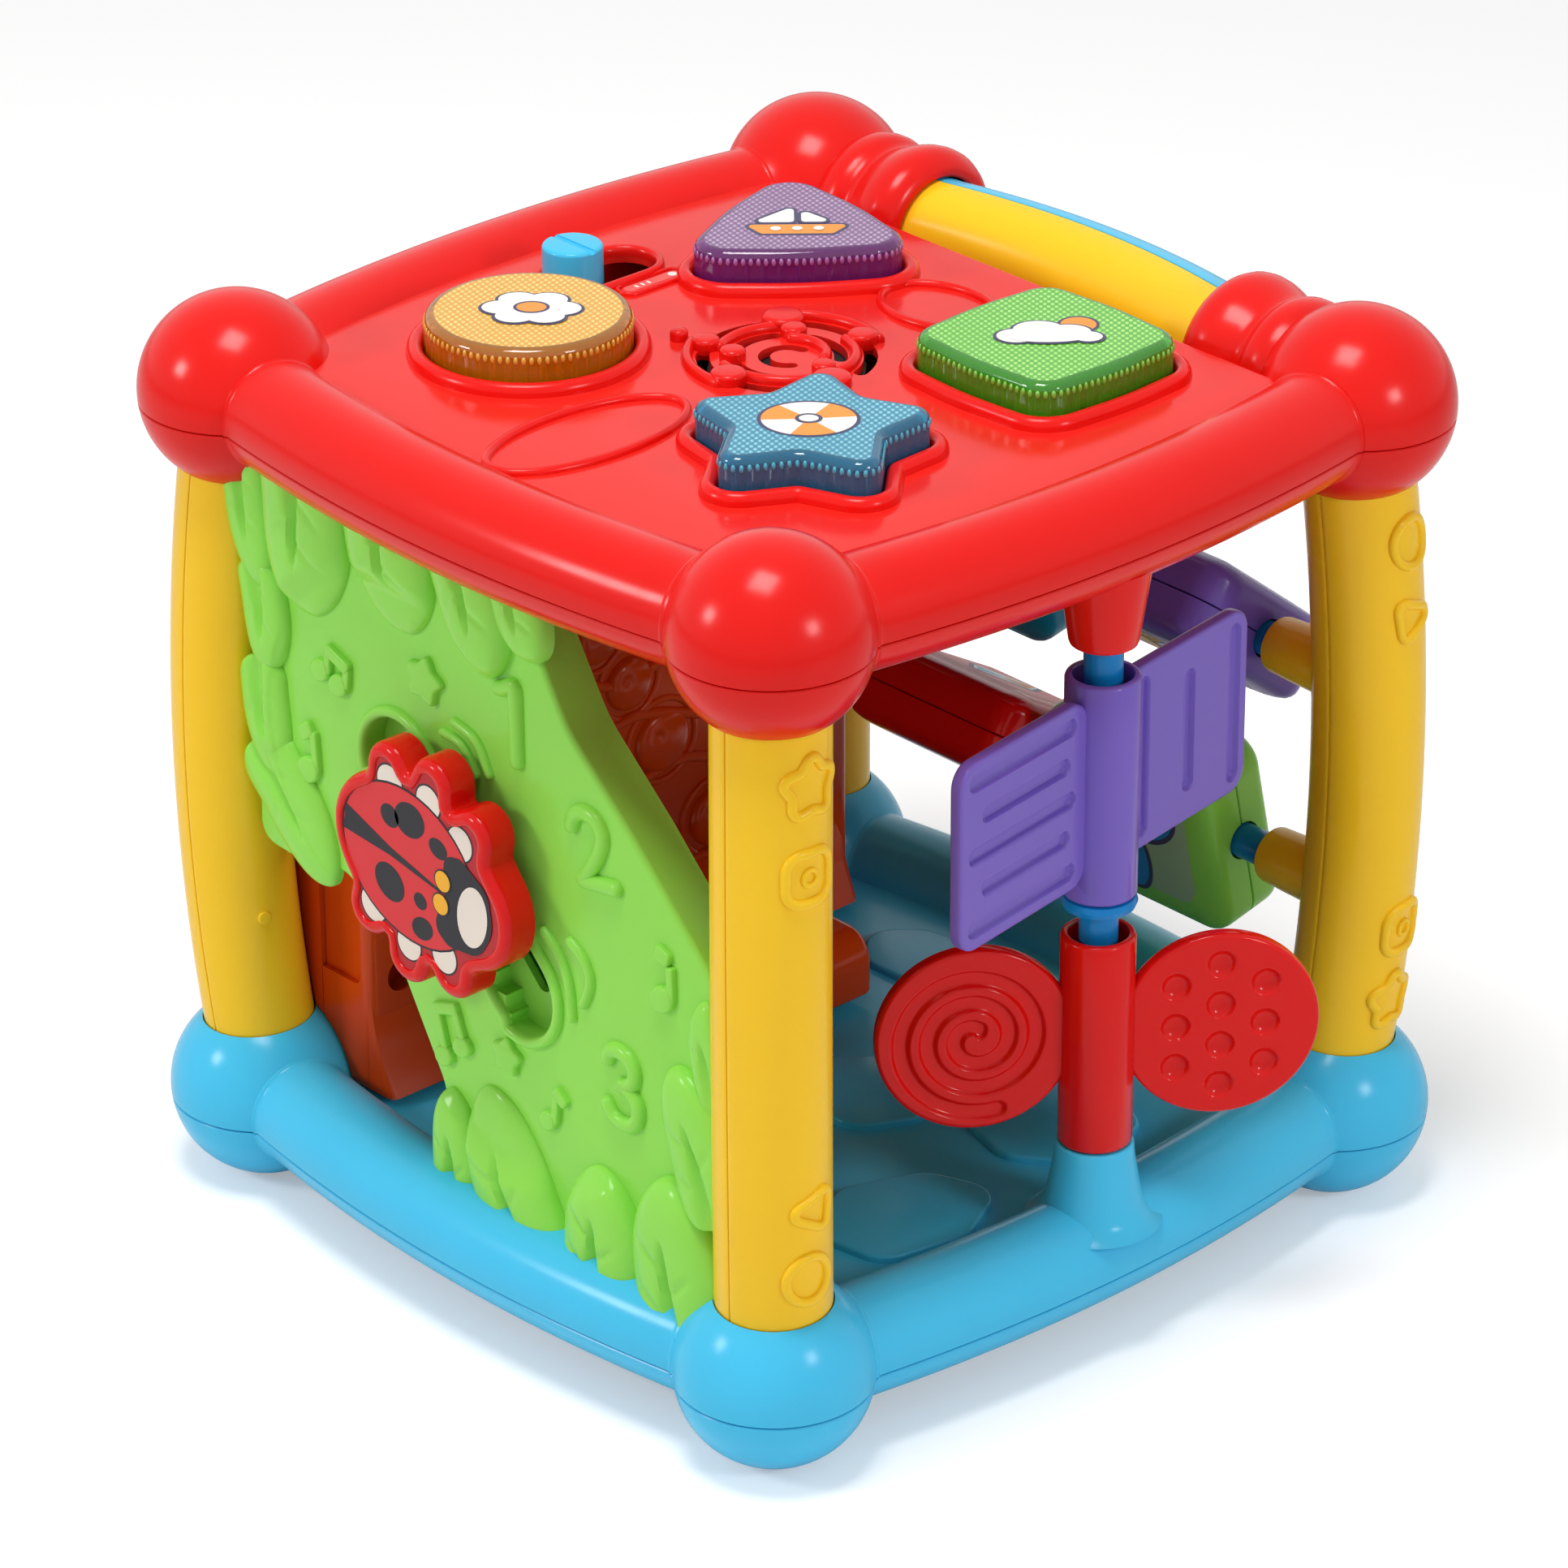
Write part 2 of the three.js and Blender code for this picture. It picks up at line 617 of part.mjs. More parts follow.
function ovalField({ yShare, long, across, alongY }) {
  const y = yShare * cavityHalf;
  const size = (w) => (alongY ? [across + w, long + w] : [long + w, across + w]);
  const top = panelTop + ovalRimHeight;
  const outline = (w) => oval([0, y], ...size(w), roundSides);
  return cut(prism(outline(ovalRim), panelTop - wall / 2, top), prism(outline(0), panelTop, top + overrun));
}

// How far out the handle's axis lies at a place along it: bowed between the collars, straight inside them.
function handleAt(x) {
  const share = Math.min(Math.abs(x) / gripHalf, 1);
  return half + handleOut + handleBow * (1 - share ** 2);
}

// The top: three rails, the housing between them, and the collars that hold the handle.
function collar(sx) {
  const start = gripHalf + gap;
  const profile = [
    { share: 0, radius: collarMouth }, { share: 0.1, radius: collarRadius - gap },
    { share: 0.2, radius: collarRadius }, { share: 0.36, radius: collarRadius - gap },
    { share: 0.52, radius: collarNeck }, { share: 0.6, radius: collarRing }, { share: 0.74, radius: collarRing },
    { share: 0.84, radius: collarNeck }, { share: 1, radius: collarNeck },
  ];
  const rings = profile.map(({ share, radius }) => {
    const x = THREE.MathUtils.lerp(start, collarEnd, share);
    return Array.from({ length: tubeSides }, (_, i) => {
      const t = (2 * Math.PI * i) / tubeSides;
      return new THREE.Vector3(sx * x, handleAt(x) + radius * Math.cos(t), upperBallZ + radius * Math.sin(t));
    });
  });
  const socketEnd = gripHalf + spigotLength + gap;
  const [x0, x1] = sx > 0 ? [0, socketEnd] : [-socketEnd, 0];
  return cut(loft(rings), alongX([handleAt(gripHalf), upperBallZ], x0, x1, spigotRadius + spigotClearance));
}

function housingBlock() {
  const body = prism(rounded(rectangle([-half, -half], [half, handleWallY], gap)), ceilingZ, panelTop);
  const beside = [1, -1].map((sx) => {
    const [x0, x1] = sx > 0 ? [cornerWallX, half] : [-half, -cornerWallX];
    return box([x0, handleWallY - wall, ceilingZ], [x1, cornerWallY, panelTop - cornerWallDrop]);
  });
  return join(body, ...beside);
}

function cavity() {
  const far = handleWallY - wall;
  const plan = rectangle([-cavityHalf, -cavityHalf], [cavityHalf, far], cavityRounding);
  return prism(rounded(plan, 2 * cornerSteps), ceilingZ + wall, panelUnder);
}

const topSeam = upperBallZ - seamDrop;
const baseSeam = lowerBallZ - seamDrop;
const rodAt = [half + railBow, 0];

function topWhole() {
  const walls = join(ring(upperBallZ, [1, 2, 3]), housingBlock(), collar(1), collar(-1));
  return cut(walls, cavity(), ...legRooms);
}

function topUpperShell() {
  const bezels = Object.values(buttons).map((button) =>
    prism(placed(button, bezelWidth), panelUnder, panelTop + bezelHeight));
  const holes = Object.values(buttons).map((button) =>
    prism(placed(button, buttonClearance), panelUnder - overrun, lensTop));
  const switchHole = switchRadius + gap;
  const rimOutline = oblong(switchHole + switchBezel, ...switchEnds);
  const switchRim = prism(rimOutline, panelUnder, panelTop + switchBezelHeight);
  const switchSlot = prism(oblong(switchHole, ...switchEnds), panelUnder - overrun, lensTop);
  const upper = topWhole().intersect(halfSpace(topSeam + gap, upperBallZ * 2));
  const fields = [nameOval, smallOval].map(ovalField);
  const raised = join(upper, ...bezels, switchRim, ...grilleBosses(), ...fields);
  return cut(raised, ...holes, switchSlot, ...grilleSlots());
}

const doorOutline = (w) => rounded(
  grown(rectangle([-doorHalfX, batteryY - doorHalfY], [doorHalfX, batteryY + doorHalfY], doorRounding), w));

function topLowerShell() {
  const lower = topWhole().intersect(halfSpace(0, topSeam));
  const posts = corners.map(([sx, sy]) => {
    const y = sy > 0 ? boardPostAt - postInset : -boardPostAt;
    return upright([sx * boardPostAt, y], ceilingZ, boardZ - gap, boardPostRadius, boardPostRadius, smallSides);
  });
  const cone = upright(rodAt, upperConeBottom, topSeam, upperConeTip, upperConeFoot);
  const socket = upright(rodAt, upperConeBottom - overrun, upperConeBottom + rodSeat, spinBore);
  const doorway = prism(doorOutline(gap), ceilingZ - overrun, ceilingZ + wall + gap);
  return cut(join(lower, ...posts, cone), socket, doorway);
}

// Base: four rails and a floor with flat stones on it. A stone's place and reach are shares of half the pitch
// of the balls, and it is a few points about its place.
const stoneShares = [
  { x: 0.725, y: -0.29, a: 0.207, b: 0.269, turn: 10 }, { x: 0.642, y: 0.332, a: 0.238, b: 0.249, turn: 40 },
  { x: 0.187, y: 0.083, a: 0.228, b: 0.197, turn: 0 }, { x: 0.352, y: -0.684, a: 0.197, b: 0.176, turn: 25 },
  { x: 0.228, y: 0.601, a: 0.176, b: 0.207, turn: 75 }, { x: -0.145, y: -0.539, a: 0.207, b: 0.249, turn: 15 },
  { x: -0.249, y: 0.705, a: 0.218, b: 0.155, turn: 5 }, { x: 0.684, y: 0.767, a: 0.135, b: 0.114, turn: 0 },
  { x: 0.746, y: -0.767, a: 0.124, b: 0.124, turn: 30 },
];
const stoneCornerShares = [0.92, 1.04, 0.9, 1.06, 0.96, 1.02];

function stone({ x, y, a, b, turn }) {
  const cornerList = stoneCornerShares.map((share, k) => {
    const [dx, dy] = polar(share, turn + (360 * k) / stoneCornerShares.length);
    return [(x + a * dx) * half, (y + b * dy) * half, padRounding];
  });
  return prism(rounded(cornerList, 1), floorTop - padHold, floorTop + padHeight);
}

function baseWhole() {
  const plate = box([-half, -half, floorTop - floorThickness], [half, half, floorTop]);
  const feet = corners.map(([sx, sy]) => upright([sx * half, sy * half], 0, 2 * footFlat, footRadius));
  return cut(join(ring(lowerBallZ, [0, 1, 2, 3]), plate, ...feet), ...legRooms);
}

function baseUpperShell() {
  const upper = baseWhole().intersect(halfSpace(baseSeam + gap, upperBallZ));
  const cone = upright(rodAt, floorTop, lowerConeTop, lowerConeFoot, lowerConeTip);
  const socket = upright(rodAt, lowerConeTop - rodSeat, lowerConeTop + overrun, spinBore);
  return cut(join(upper, cone, ...stoneShares.map(stone)), socket);
}

const baseLowerShell = () => baseWhole().intersect(halfSpace(0, baseSeam));

// Handle: two halves that part along the top of the grip, with a smaller spigot at each end.
function gripShell(side) {
  const end = gripHalf + spigotLength;
  const grip = Array.from({ length: bowSteps + 1 }, (_, k) => [gripHalf * ((2 * k) / bowSteps - 1), railRadius]);
  const stations = [
    [-end, spigotRadius], [-gripHalf, spigotRadius], ...grip, [gripHalf, spigotRadius], [end, spigotRadius],
  ];
  const rings = stations.map(([x, radius]) => Array.from({ length: tubeSides / 2 + 1 }, (_, i) => {
    const y = handleAt(x) + side * Math.max(radius * Math.cos(halfAngle(i)), gap / 2);
    return new THREE.Vector3(x, y, upperBallZ + radius * Math.sin(halfAngle(i)));
  }));
  return loft(rings);
}

// Electronics under the panel
function circuitBoard() {
  const far = handleWallY - wall - boardClearance;
  const plan = rectangle([-boardHalf, -boardHalf], [boardHalf, far], boardRounding);
  const sheet = prism(rounded(plan), boardZ, boardTop);
  const [under, over] = [boardZ - overrun, boardTop + overrun];
  const opening = upright([grilleX, 0], under, over, speakerRadius + boardClearance, undefined, roundSides);
  const bay = box([-doorHalfX, 0, under], [doorHalfX, half, over]);
  const slide = box([switchX - switchPin, switchEnds[0] - switchBlockHalf, boardZ],
    [switchX + 2 * switchBlockHalf, switchEnds[1] + switchBlockHalf, boardTop + switchBlockHeight]);
  return cut(join(sheet, slide), opening, bay);
}

function speaker() {
  const top = panelUnder - gap;
  const bottom = top - speakerHeight;
  return turned([grilleX, 0], [
    [0, bottom], [speakerMagnet, bottom], [speakerMagnet, bottom + speakerHeight / 3],
    [speakerRadius, top - speakerFrame], [speakerRadius, top], [0, top],
  ], roundSides);
}

function battery(side) {
  const z = ceilingZ + wall + gap + batteryRadius;
  const [y0, y1] = [batteryY - batteryLength / 2, batteryY + batteryLength / 2];
  const x = side * (batteryRadius + gap);
  return join(alongY([x, z], y0, y1 - batteryTip, batteryRadius), alongY([x, z], y0, y1, batteryTipRadius));
}

// Upright rod: one bar with a moulded ring that carries the upper spinner.
function spinnerRod() {
  const [bottom, top] = [lowerConeTop - rodSeat + gap, upperConeBottom + rodSeat - gap];
  return turned(rodAt, [
    [0, bottom], [spinRodRadius, bottom], [spinRodRadius, collarZ], [tubeRadius - gap, collarZ],
    [tubeRadius + gap, collarZ + collarHeight / 2], [tubeRadius - gap, collarZ + collarHeight],
    [spinRodRadius, collarZ + collarHeight], [spinRodRadius, top], [0, top],
  ]);
}

// The spinners are modelled about their own axis, with one wing along +Y and one along -Y.
const spinnerTube = (z0, z1) => turned([0, 0], [
  [spinBore, z0], [tubeRadius - tubeChamfer, z0], [tubeRadius, z0 + tubeChamfer],
  [tubeRadius, z1 - tubeChamfer], [tubeRadius - tubeChamfer, z1],
  [mouthRadius, z1], [mouthRadius, z1 - mouthDepth], [spinBore, z1 - mouthDepth], [spinBore, z0],
]);

// A plate in the plane of y and z, centred on x = 0.
function plateX(outline, thickness) {
  const options = { depth: thickness, bevelEnabled: false };
  const geometry = new THREE.ExtrudeGeometry(new THREE.Shape(outline), options);
  return solidOf(geometry.rotateX(Math.PI / 2).rotateZ(Math.PI / 2).translate(-thickness / 2, 0, 0));
}

const slot = ([y0, z0], [y1, z1], width) => rounded(
  rectangle([y0 - width / 2, z0 - width / 2], [y1 + width / 2, z1 + width / 2], width / 2), 1);

// Grooves are pressed into both faces of a wing.
const pressed = (outlines, thickness) => outlines.flatMap((outline) =>
  [1, -1].map((face) => plateX(outline, 2 * grooveDepth).translate(face * (thickness / 2), 0, 0)));

function flagSpinner() {
  const [bottom, top] = [collarZ + collarHeight + gap, flagTubeTop];
  const tube = spinnerTube(bottom, top);
  const [z0, z1] = [bottom + flagFoot, top - flagHead];
  const wings = [1, -1].map((side) => {
    const [y0, y1] = side > 0 ? [tubeRadius - tubeChamfer, flagReach] : [-flagReach, tubeChamfer - tubeRadius];
    return plateX(rounded(rectangle([y0, z0], [y1, z1], flagRounding)), flagThickness);
  });
  const inner = tubeRadius + flagMargin;
  const outer = flagReach - flagMargin;
  const columns = Array.from({ length: flagColumns }, (_, k) => {
    const y = THREE.MathUtils.lerp(inner, outer, k / (flagColumns - 1));
    const short = k % 2 ? flagMargin : 0;
    return slot([y, z0 + flagMargin + short], [y, z1 - flagMargin - short], flagGroove);
  });
  const rows = Array.from({ length: flagRows }, (_, k) => {
    const z = THREE.MathUtils.lerp(z0 + flagMargin, z1 - flagMargin, k / (flagRows - 1));
    const short = k % 2 ? flagMargin : 0;
    return slot([-outer, z], [-inner - short, z], flagGroove);
  });
  return cut(join(tube, ...wings), ...pressed([...columns, ...rows], flagThickness));
}

// The spiral groove, as one band that winds out from the middle of the -Y disc.
function spiralOutline() {
  const at = (k, w) => {
    const t = k / spiralSteps;
    const radius = THREE.MathUtils.lerp(spiralStart, spiralEnd, t) + w;
    const [y, z] = polar(radius, 360 * spiralTurns * t + spiralFirstAngle);
    return new THREE.Vector2(-discReach - y, discZ + z);
  };
  const steps = Array.from({ length: spiralSteps + 1 }, (_, k) => k);
  const outer = steps.map((k) => at(k, spiralWidth / 2));
  return [...outer, ...steps.toReversed().map((k) => at(k, -spiralWidth / 2))];
}

function discSpinner() {
  const [bottom, top] = [lowerConeTop + gap, discTubeTop];
  const inTube = upright([0, 0], bottom, top, (spinBore + tubeRadius) / 2);
  const discs = [1, -1].map((side) => {
    const outline = oval([side * discReach, discZ], discRadius, discRadius);
    return cut(plateX(outline, discThickness), inTube);
  });
  const dimples = dimpleCounts.flatMap((count, column) => Array.from({ length: 2 * count }, (_, k) => {
    const face = k % 2 ? 1 : -1;
    const y = discReach + (column - (dimpleCounts.length - 1) / 2) * dimplePitch;
    const z = discZ + (Math.floor(k / 2) - (count - 1) / 2) * dimplePitch;
    const x = face * (discThickness / 2 + dimpleRadius - dimpleDepth);
    return ball(dimpleRadius, [x, y, z], dimpleSides, dimpleRings);
  }));
  const spiral = pressed([spiralOutline()], discThickness);
  return cut(join(spinnerTube(bottom, top), ...discs), ...dimples, ...spiral);
}

// Flip blocks: each is two mouldings that meet on the rod, modelled about the rod.
function flipHalf(side) {
  const levels = [[gap / 2, 0], [flipEdge, 0], [flipShoulder, flipShoulderInset], [flipCrown, flipCrownInset]];
  const shape = rectangle([-flipLength / 2, -flipHalfHeight], [flipLength / 2, flipHalfHeight], flipRounding);
  const rings = levels.map(([y, inset]) =>
    rounded(grown(shape, -inset)).map((p) => new THREE.Vector3(p.x, side * y, p.y)));
  return cut(loft(rings), alongX([0, 0], -flipLength, flipLength, flipBore));
}

const flipRod = (z) => alongX([flipRodY, z], gap - pegTip - pegSeat, pegTip + pegSeat - gap, flipRodRadius);

function legWithPegs(corner) {
  const [sx] = corner;
  const pegs = [upperFlipZ, lowerFlipZ].map((z) => {
    const root = legAt(z) - gap;
    return sx > 0
      ? alongX([flipRodY, z], pegTip, root, pegRadius, pegRadius + pegFlare)
      : alongX([flipRodY, z], -root, -pegTip, pegRadius + pegFlare, pegRadius);
  });
  const sockets = [upperFlipZ, lowerFlipZ].map((z) => {
    const ends = [pegTip - overrun, pegTip + pegSeat].map((x) => sx * x).sort((a, b) => a - b);
    return alongX([flipRodY, z], ...ends, flipBore);
  });
  return cut(join(legHalf(corner, -1), ...pegs), ...sockets);
}

// Green panel: its lower left side and upper right side are swept like a leaf. The corners are shares of half
// the balls' pitch, across from the middle and up from the middle of the frame, and so are their roundings.
const greenShares = [
  { x: -0.145, z: -0.917, r: 0.02 }, { x: 0.891, z: -0.917, r: 0.02 }, { x: 0.891, z: 0.056, r: 0.124 },
  { x: 0.591, z: 0.346, r: 0.415 }, { x: 0.363, z: 0.543, r: 0.311 }, { x: 0.228, z: 0.761, r: 0.124 },
  { x: 0.176, z: 0.927, r: 0.02 }, { x: -0.87, z: 0.927, r: 0.02 }, { x: -0.85, z: 0.336, r: 0.622 },
  { x: -0.87, z: -0.203, r: 0.062 }, { x: -0.684, z: -0.213, r: 0.062 }, { x: -0.518, z: -0.172, r: 0.073 },
  { x: -0.352, z: -0.296, r: 0.207 }, { x: -0.145, z: -0.649, r: 0.145 },
];
const greenCorners = greenShares.map(({ x, z, r }) => [x * half, frameMiddleZ + z * half, r * half]);

const trackAngle = degrees(trackSlope);
const onTrack = (s, n) => new THREE.Vector2(s, n).rotateAround(new THREE.Vector2(), trackAngle)
  .add(new THREE.Vector2(trackMiddleX, frameMiddleZ + trackLift));
const pinAt = onTrack(trackRest, 0);
const rackPitch = (2 * Math.PI * pitchRadius) / lobes;
const hubReach = pitchRadius + lobeRadius + 2 * lobeClearance;
const trackEnd = trackTravel / 2 + hubReach;
const trackEndShare = 0.9; // rounding of the track's upper corners, of the room that the hub takes
const trackCorners = rectangle([-trackEnd, -pitchRadius], [trackEnd, hubReach], hubReach * trackEndShare)
  .map(([s, n, r], k) => [s, n, k < 2 ? gap : r]);
const alongTrack = (outline) => outline.map((p) => onTrack(p.x, p.y));
const trackFloorY = panelFace + recessDepth;
const pocketY = trackFloorY + trackFloor;
const panelBackY = panelFace + panelSkin;

function rackNotches() {
  const reach = trackTravel / 2 + pitchRadius;
  const first = Math.ceil((-reach - trackRest) / rackPitch);
  const last = Math.floor((reach - trackRest) / rackPitch);
  return Array.from({ length: last - first + 1 }, (_, k) => {
    const centre = onTrack(trackRest + (first + k) * rackPitch, -pitchRadius);
    const radius = lobeRadius + lobeClearance;
    return alongY([centre.x, centre.y], panelFace - overrun, trackFloorY, radius, radius, lobeSides);
  });
}

function greenFront() {
  const body = slabY(rounded(greenCorners), panelFace, panelBackY);
  const rimOutline = alongTrack(rounded(grown(trackCorners, trackRim + lobeRadius)));
  const rim = slabY(rimOutline, panelFace - trackRimHeight, trackFloorY);
  const recess = slabY(alongTrack(rounded(trackCorners)), panelFace - overrun, trackFloorY);
  const reach = trackTravel / 2;
  const slotEnd = reach + axleSlot + slideOver;
  const straight = rectangle([-slotEnd, -axleSlot], [slotEnd, axleSlot], axleSlot);
  const axleWay = slabY(alongTrack(rounded(straight)), trackFloorY - gap, pocketY + gap);
  const pocketShape = grown(straight, carriageRadius - axleSlot + gap);
  const pocket = slabY(alongTrack(rounded(pocketShape)), pocketY, panelBackY + overrun);
  return cut(join(body, rim), recess, ...rackNotches(), axleWay, pocket, ...panelRoom());
}

// What the panel must stay clear of: rails, balls, legs and the top housing.
function panelRoom() {
  const rails = [lowerBallZ, upperBallZ].map((z) => ring(z, [2], gap));
  const housing = box([-outside, -half - gap, ceilingZ - gap], [outside, 0, panelTop]);
  return [...rails, housing, legRooms[1], legRooms[2]];
}

function greenBack() {
  const cover = slabY(rounded(grown(greenCorners, -gap)), panelBackY + gap, panelBackY + gap + panelCover);
  return cut(cover, ...panelRoom());
}

// The carriage runs behind the track's floor. Its axle carries the ladybird, and its screw head keeps it on.
function carriage() {
  const at = [pinAt.x, pinAt.y];
  const screwTop = bugFace + screwSunk;
  return join(
    alongY(at, pocketY + gap, panelBackY, carriageRadius),
    alongY(at, trackFloorY + gap, panelBackY, axleBoss),
    alongY(at, screwTop, panelBackY, axleRadius),
    alongY(at, screwTop, screwTop + screwHeadHeight, screwHead),
  );
}

// The ladybird, seen from the middle of its body: the farthest of its body, head and feet in each direction.
// The feet's places along and across are shares of half the body's width.
const bugFootShares = [
  { along: -0.6, across: 0.8 }, { along: 0, across: 0.98 }, { along: 0.612, across: 0.765 },
];
const bugSides = 40;

function bugOutline(inset) {
  const turn = degrees(bugTurn);
  const feet = bugFootShares.flatMap(({ along, across }) => [1, -1].map((side) => (
    { along: along * bugAcross, across: side * across * bugAcross, radius: bugFootRadius })));
  const rounds = [{ along: bugHeadOut, across: 0, radius: bugHeadRadius }, ...feet];
  return Array.from({ length: bugSides }, (_, k) => {
    const t = (2 * Math.PI * k) / bugSides;
    const [c, s] = [Math.cos(t), Math.sin(t)];
    const body = 1 / Math.hypot(c / bugLong, s / bugAcross);
    const reaches = rounds.map(({ along, across, radius }) => {
      const miss = along * s - across * c;
      return Math.abs(miss) < radius ? along * c + across * s + Math.sqrt(radius ** 2 - miss ** 2) : 0;
    });
    const reach = Math.max(body, ...reaches) - inset;
    return new THREE.Vector2(reach * Math.cos(t + turn) + bugMiddleX, reach * Math.sin(t + turn) + bugMiddleZ);
  });
}

function ladybird() {
  const levels = [
    [bugBack, 0], [bugFace + bugEdge, 0], [bugFace, bugEdge],
  ];
  const rings = levels.map(([y, inset]) => bugOutline(inset).map((p) =>
    new THREE.Vector3(p.x + pinAt.x, y, p.y + pinAt.y)));
  const at = [pinAt.x, pinAt.y];
  const [hubFront, hubBack] = [bugBack - gap, trackFloorY - gap];
  const teeth = Array.from({ length: lobes }, (_, k) => {
    const tooth = new THREE.Vector2(0, -pitchRadius)
      .rotateAround(new THREE.Vector2(), trackAngle + (2 * Math.PI * k) / lobes).add(pinAt);
    return alongY([tooth.x, tooth.y], hubFront, hubBack, lobeRadius, lobeRadius, lobeSides);
  });
  const hub = join(alongY(at, hubFront, hubBack, hubBody), ...teeth);
  const headRoom = bugFace + screwSunk + screwHeadHeight + gap;
  return cut(join(loft(rings), hub),
    alongY(at, bugFace - overrun, hubBack + overrun, axleRadius + gap),
    alongY(at, bugFace - overrun, headRoom, screwHead + gap));
}

// Orange housing: an outer and an inner shell that meet on an upright plane, with a bench on the floor.
function housingShell(x0, x1) {
  const outline = rounded(rectangle([x0, housingNearY], [x1, housingFarY], housingRounding));
  const body = prism(outline, floorTop + gap, housingTop);
  const clearBase = ring(lowerBallZ, [0, 1, 2, 3], gap);
  const clearTop = ring(upperBallZ, [1, 2, 3], gap);
  return cut(body, clearBase, clearTop, ...legRooms);
}

function innerHousing() {
  const foot = floorTop + gap;
  const back = (housingSplit + housingIn) / 2;
  const bench = rounded([
    [back, foot + padHeight, 0], [benchReach, foot + padHeight, benchFoot],
    [benchReach, benchTop, benchRounding], [back, benchTop, 0],
  ]);
  const whole = join(housingShell(housingSplit + gap / 2, housingIn), slabY(bench, -benchHalf, benchHalf));
  const [holeEnd, holeMouth] = [housingIn - screwHoleDepth, housingIn + overrun];
  return cut(whole, alongX([screwHoleY, screwHoleZ], holeEnd, holeMouth, screwHole));
}

// Materials
const plastic = (color, roughness) => new THREE.MeshStandardMaterial({ color, roughness, metalness: 0 });
const clear = (color) => new THREE.MeshStandardMaterial({
  color, roughness: 0.15, metalness: 0, transparent: true, opacity: 0.8,
});
const red = "#e2231a";
const blue = "#45bce8";
const rodBlue = "#1281c4";
const yellow = "#f8cb37";
const green = "#95d763";
const purple = "#7c63bb";
const orange = "#cf4a12";
const glossy = 0.25;
const satin = 0.4;

const cube = new THREE.Group();
function add(name, solid, material, parent = cube) {
  const mesh = new THREE.Mesh(geometryOf(solid), material);
  mesh.name = name;
  parent.add(mesh);
  return mesh;
}

add("base_upper_shell", baseUpperShell(), plastic(blue, satin));
add("base_lower_shell", baseLowerShell(), plastic(blue, satin));
add("top_upper_shell", topUpperShell(), plastic(red, glossy));
add("top_lower_shell", topLowerShell(), plastic(red, satin));

const legNames = ["back_right", "front_right", "front_left", "back_left"];
corners.forEach((corner, k) => {
  const inner = corner[1] > 0 ? legWithPegs(corner) : legHalf(corner, -1);
  add(`leg_${legNames[k]}_outer`, legHalf(corner, 1), plastic(yellow, satin));
  add(`leg_${legNames[k]}_inner`, inner, plastic(yellow, satin));
});

add("handle_inner_half", gripShell(-1), plastic(yellow, satin));
add("handle_outer_half", gripShell(1), plastic(blue, satin));

const lensColours = { round: "#e0a020", triangle: "#8a5aa8", square: "#58c81e", star: "#1f7f9f" };
Object.entries(buttons).forEach(([name, button]) => {
  add(`${name}_button_lens`, lens(button), clear(lensColours[name]));
  add(`${name}_button_dome`, dome(button), plastic("#d8d8d4", 0.8));
});

add("volume_knob", switchKnob(), plastic(blue, satin));
add("circuit_board", circuitBoard(), plastic("#1f6b3a", 0.5));
add("speaker", speaker(), plastic("#2b2b2d", 0.6));
add("battery_left", battery(-1), plastic("#b9bcc0", 0.35));
add("battery_right", battery(1), plastic("#b9bcc0", 0.35));
add("battery_door", prism(doorOutline(0), ceilingZ, ceilingZ + wall), plastic(red, satin));

add("spinner_rod", spinnerRod(), plastic(rodBlue, glossy));
const flags = add("flag_spinner", flagSpinner(), plastic(purple, satin));
const discs = add("disc_spinner", discSpinner(), plastic(red, glossy));
[[flags, flagTurn], [discs, discTurn]].forEach(([spinner, turn]) => {
  spinner.position.set(...rodAt, 0);
  spinner.rotation.z = degrees(turn);
});

add("upper_flip_rod", flipRod(upperFlipZ), plastic(rodBlue, glossy));
add("lower_flip_rod", flipRod(lowerFlipZ), plastic(rodBlue, glossy));
const flipBlocks = [
  ["teal_block", tealBlock, upperFlipZ, "#1d8fb5"], ["purple_block", purpleBlock, upperFlipZ, purple],
  ["red_block", redBlock, lowerFlipZ, red], ["green_block", greenBlock, lowerFlipZ, green],
];
for (const [name, { side, offMiddle, turn }, z, colour] of flipBlocks) {
  const block = new THREE.Group();
  block.position.set(side * (flipLength / 2 + offMiddle), flipRodY, z);
  block.rotation.x = degrees(turn);
  add(`${name}_outer_half`, flipHalf(1), plastic(colour, glossy), block);
  add(`${name}_inner_half`, flipHalf(-1), plastic(colour, glossy), block);
  cube.add(block);
}

add("green_panel_front", greenFront(), plastic(green, satin));
add("green_panel_back", greenBack(), plastic(green, satin));
add("slider_carriage", carriage(), plastic("#d9d9d6", satin));
add("ladybird_knob", ladybird(), plastic(red, satin));

add("orange_housing_outer", housingShell(housingOut, housingSplit - gap / 2), plastic(orange, satin));
add("orange_housing_inner", innerHousing(), plastic(orange, satin));

// The origin lies on the floor under the middle of the overall box, which a spinner and the flip blocks widen.
const middle = new THREE.Box3().setFromObject(cube, true).getCenter(new THREE.Vector3());
cube.position.set(-middle.x, -middle.y, 0);

const root = new THREE.Group();
root.add(cube);
export default root;
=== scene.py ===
import math

import bmesh
import bpy
from mathutils import Matrix, Vector


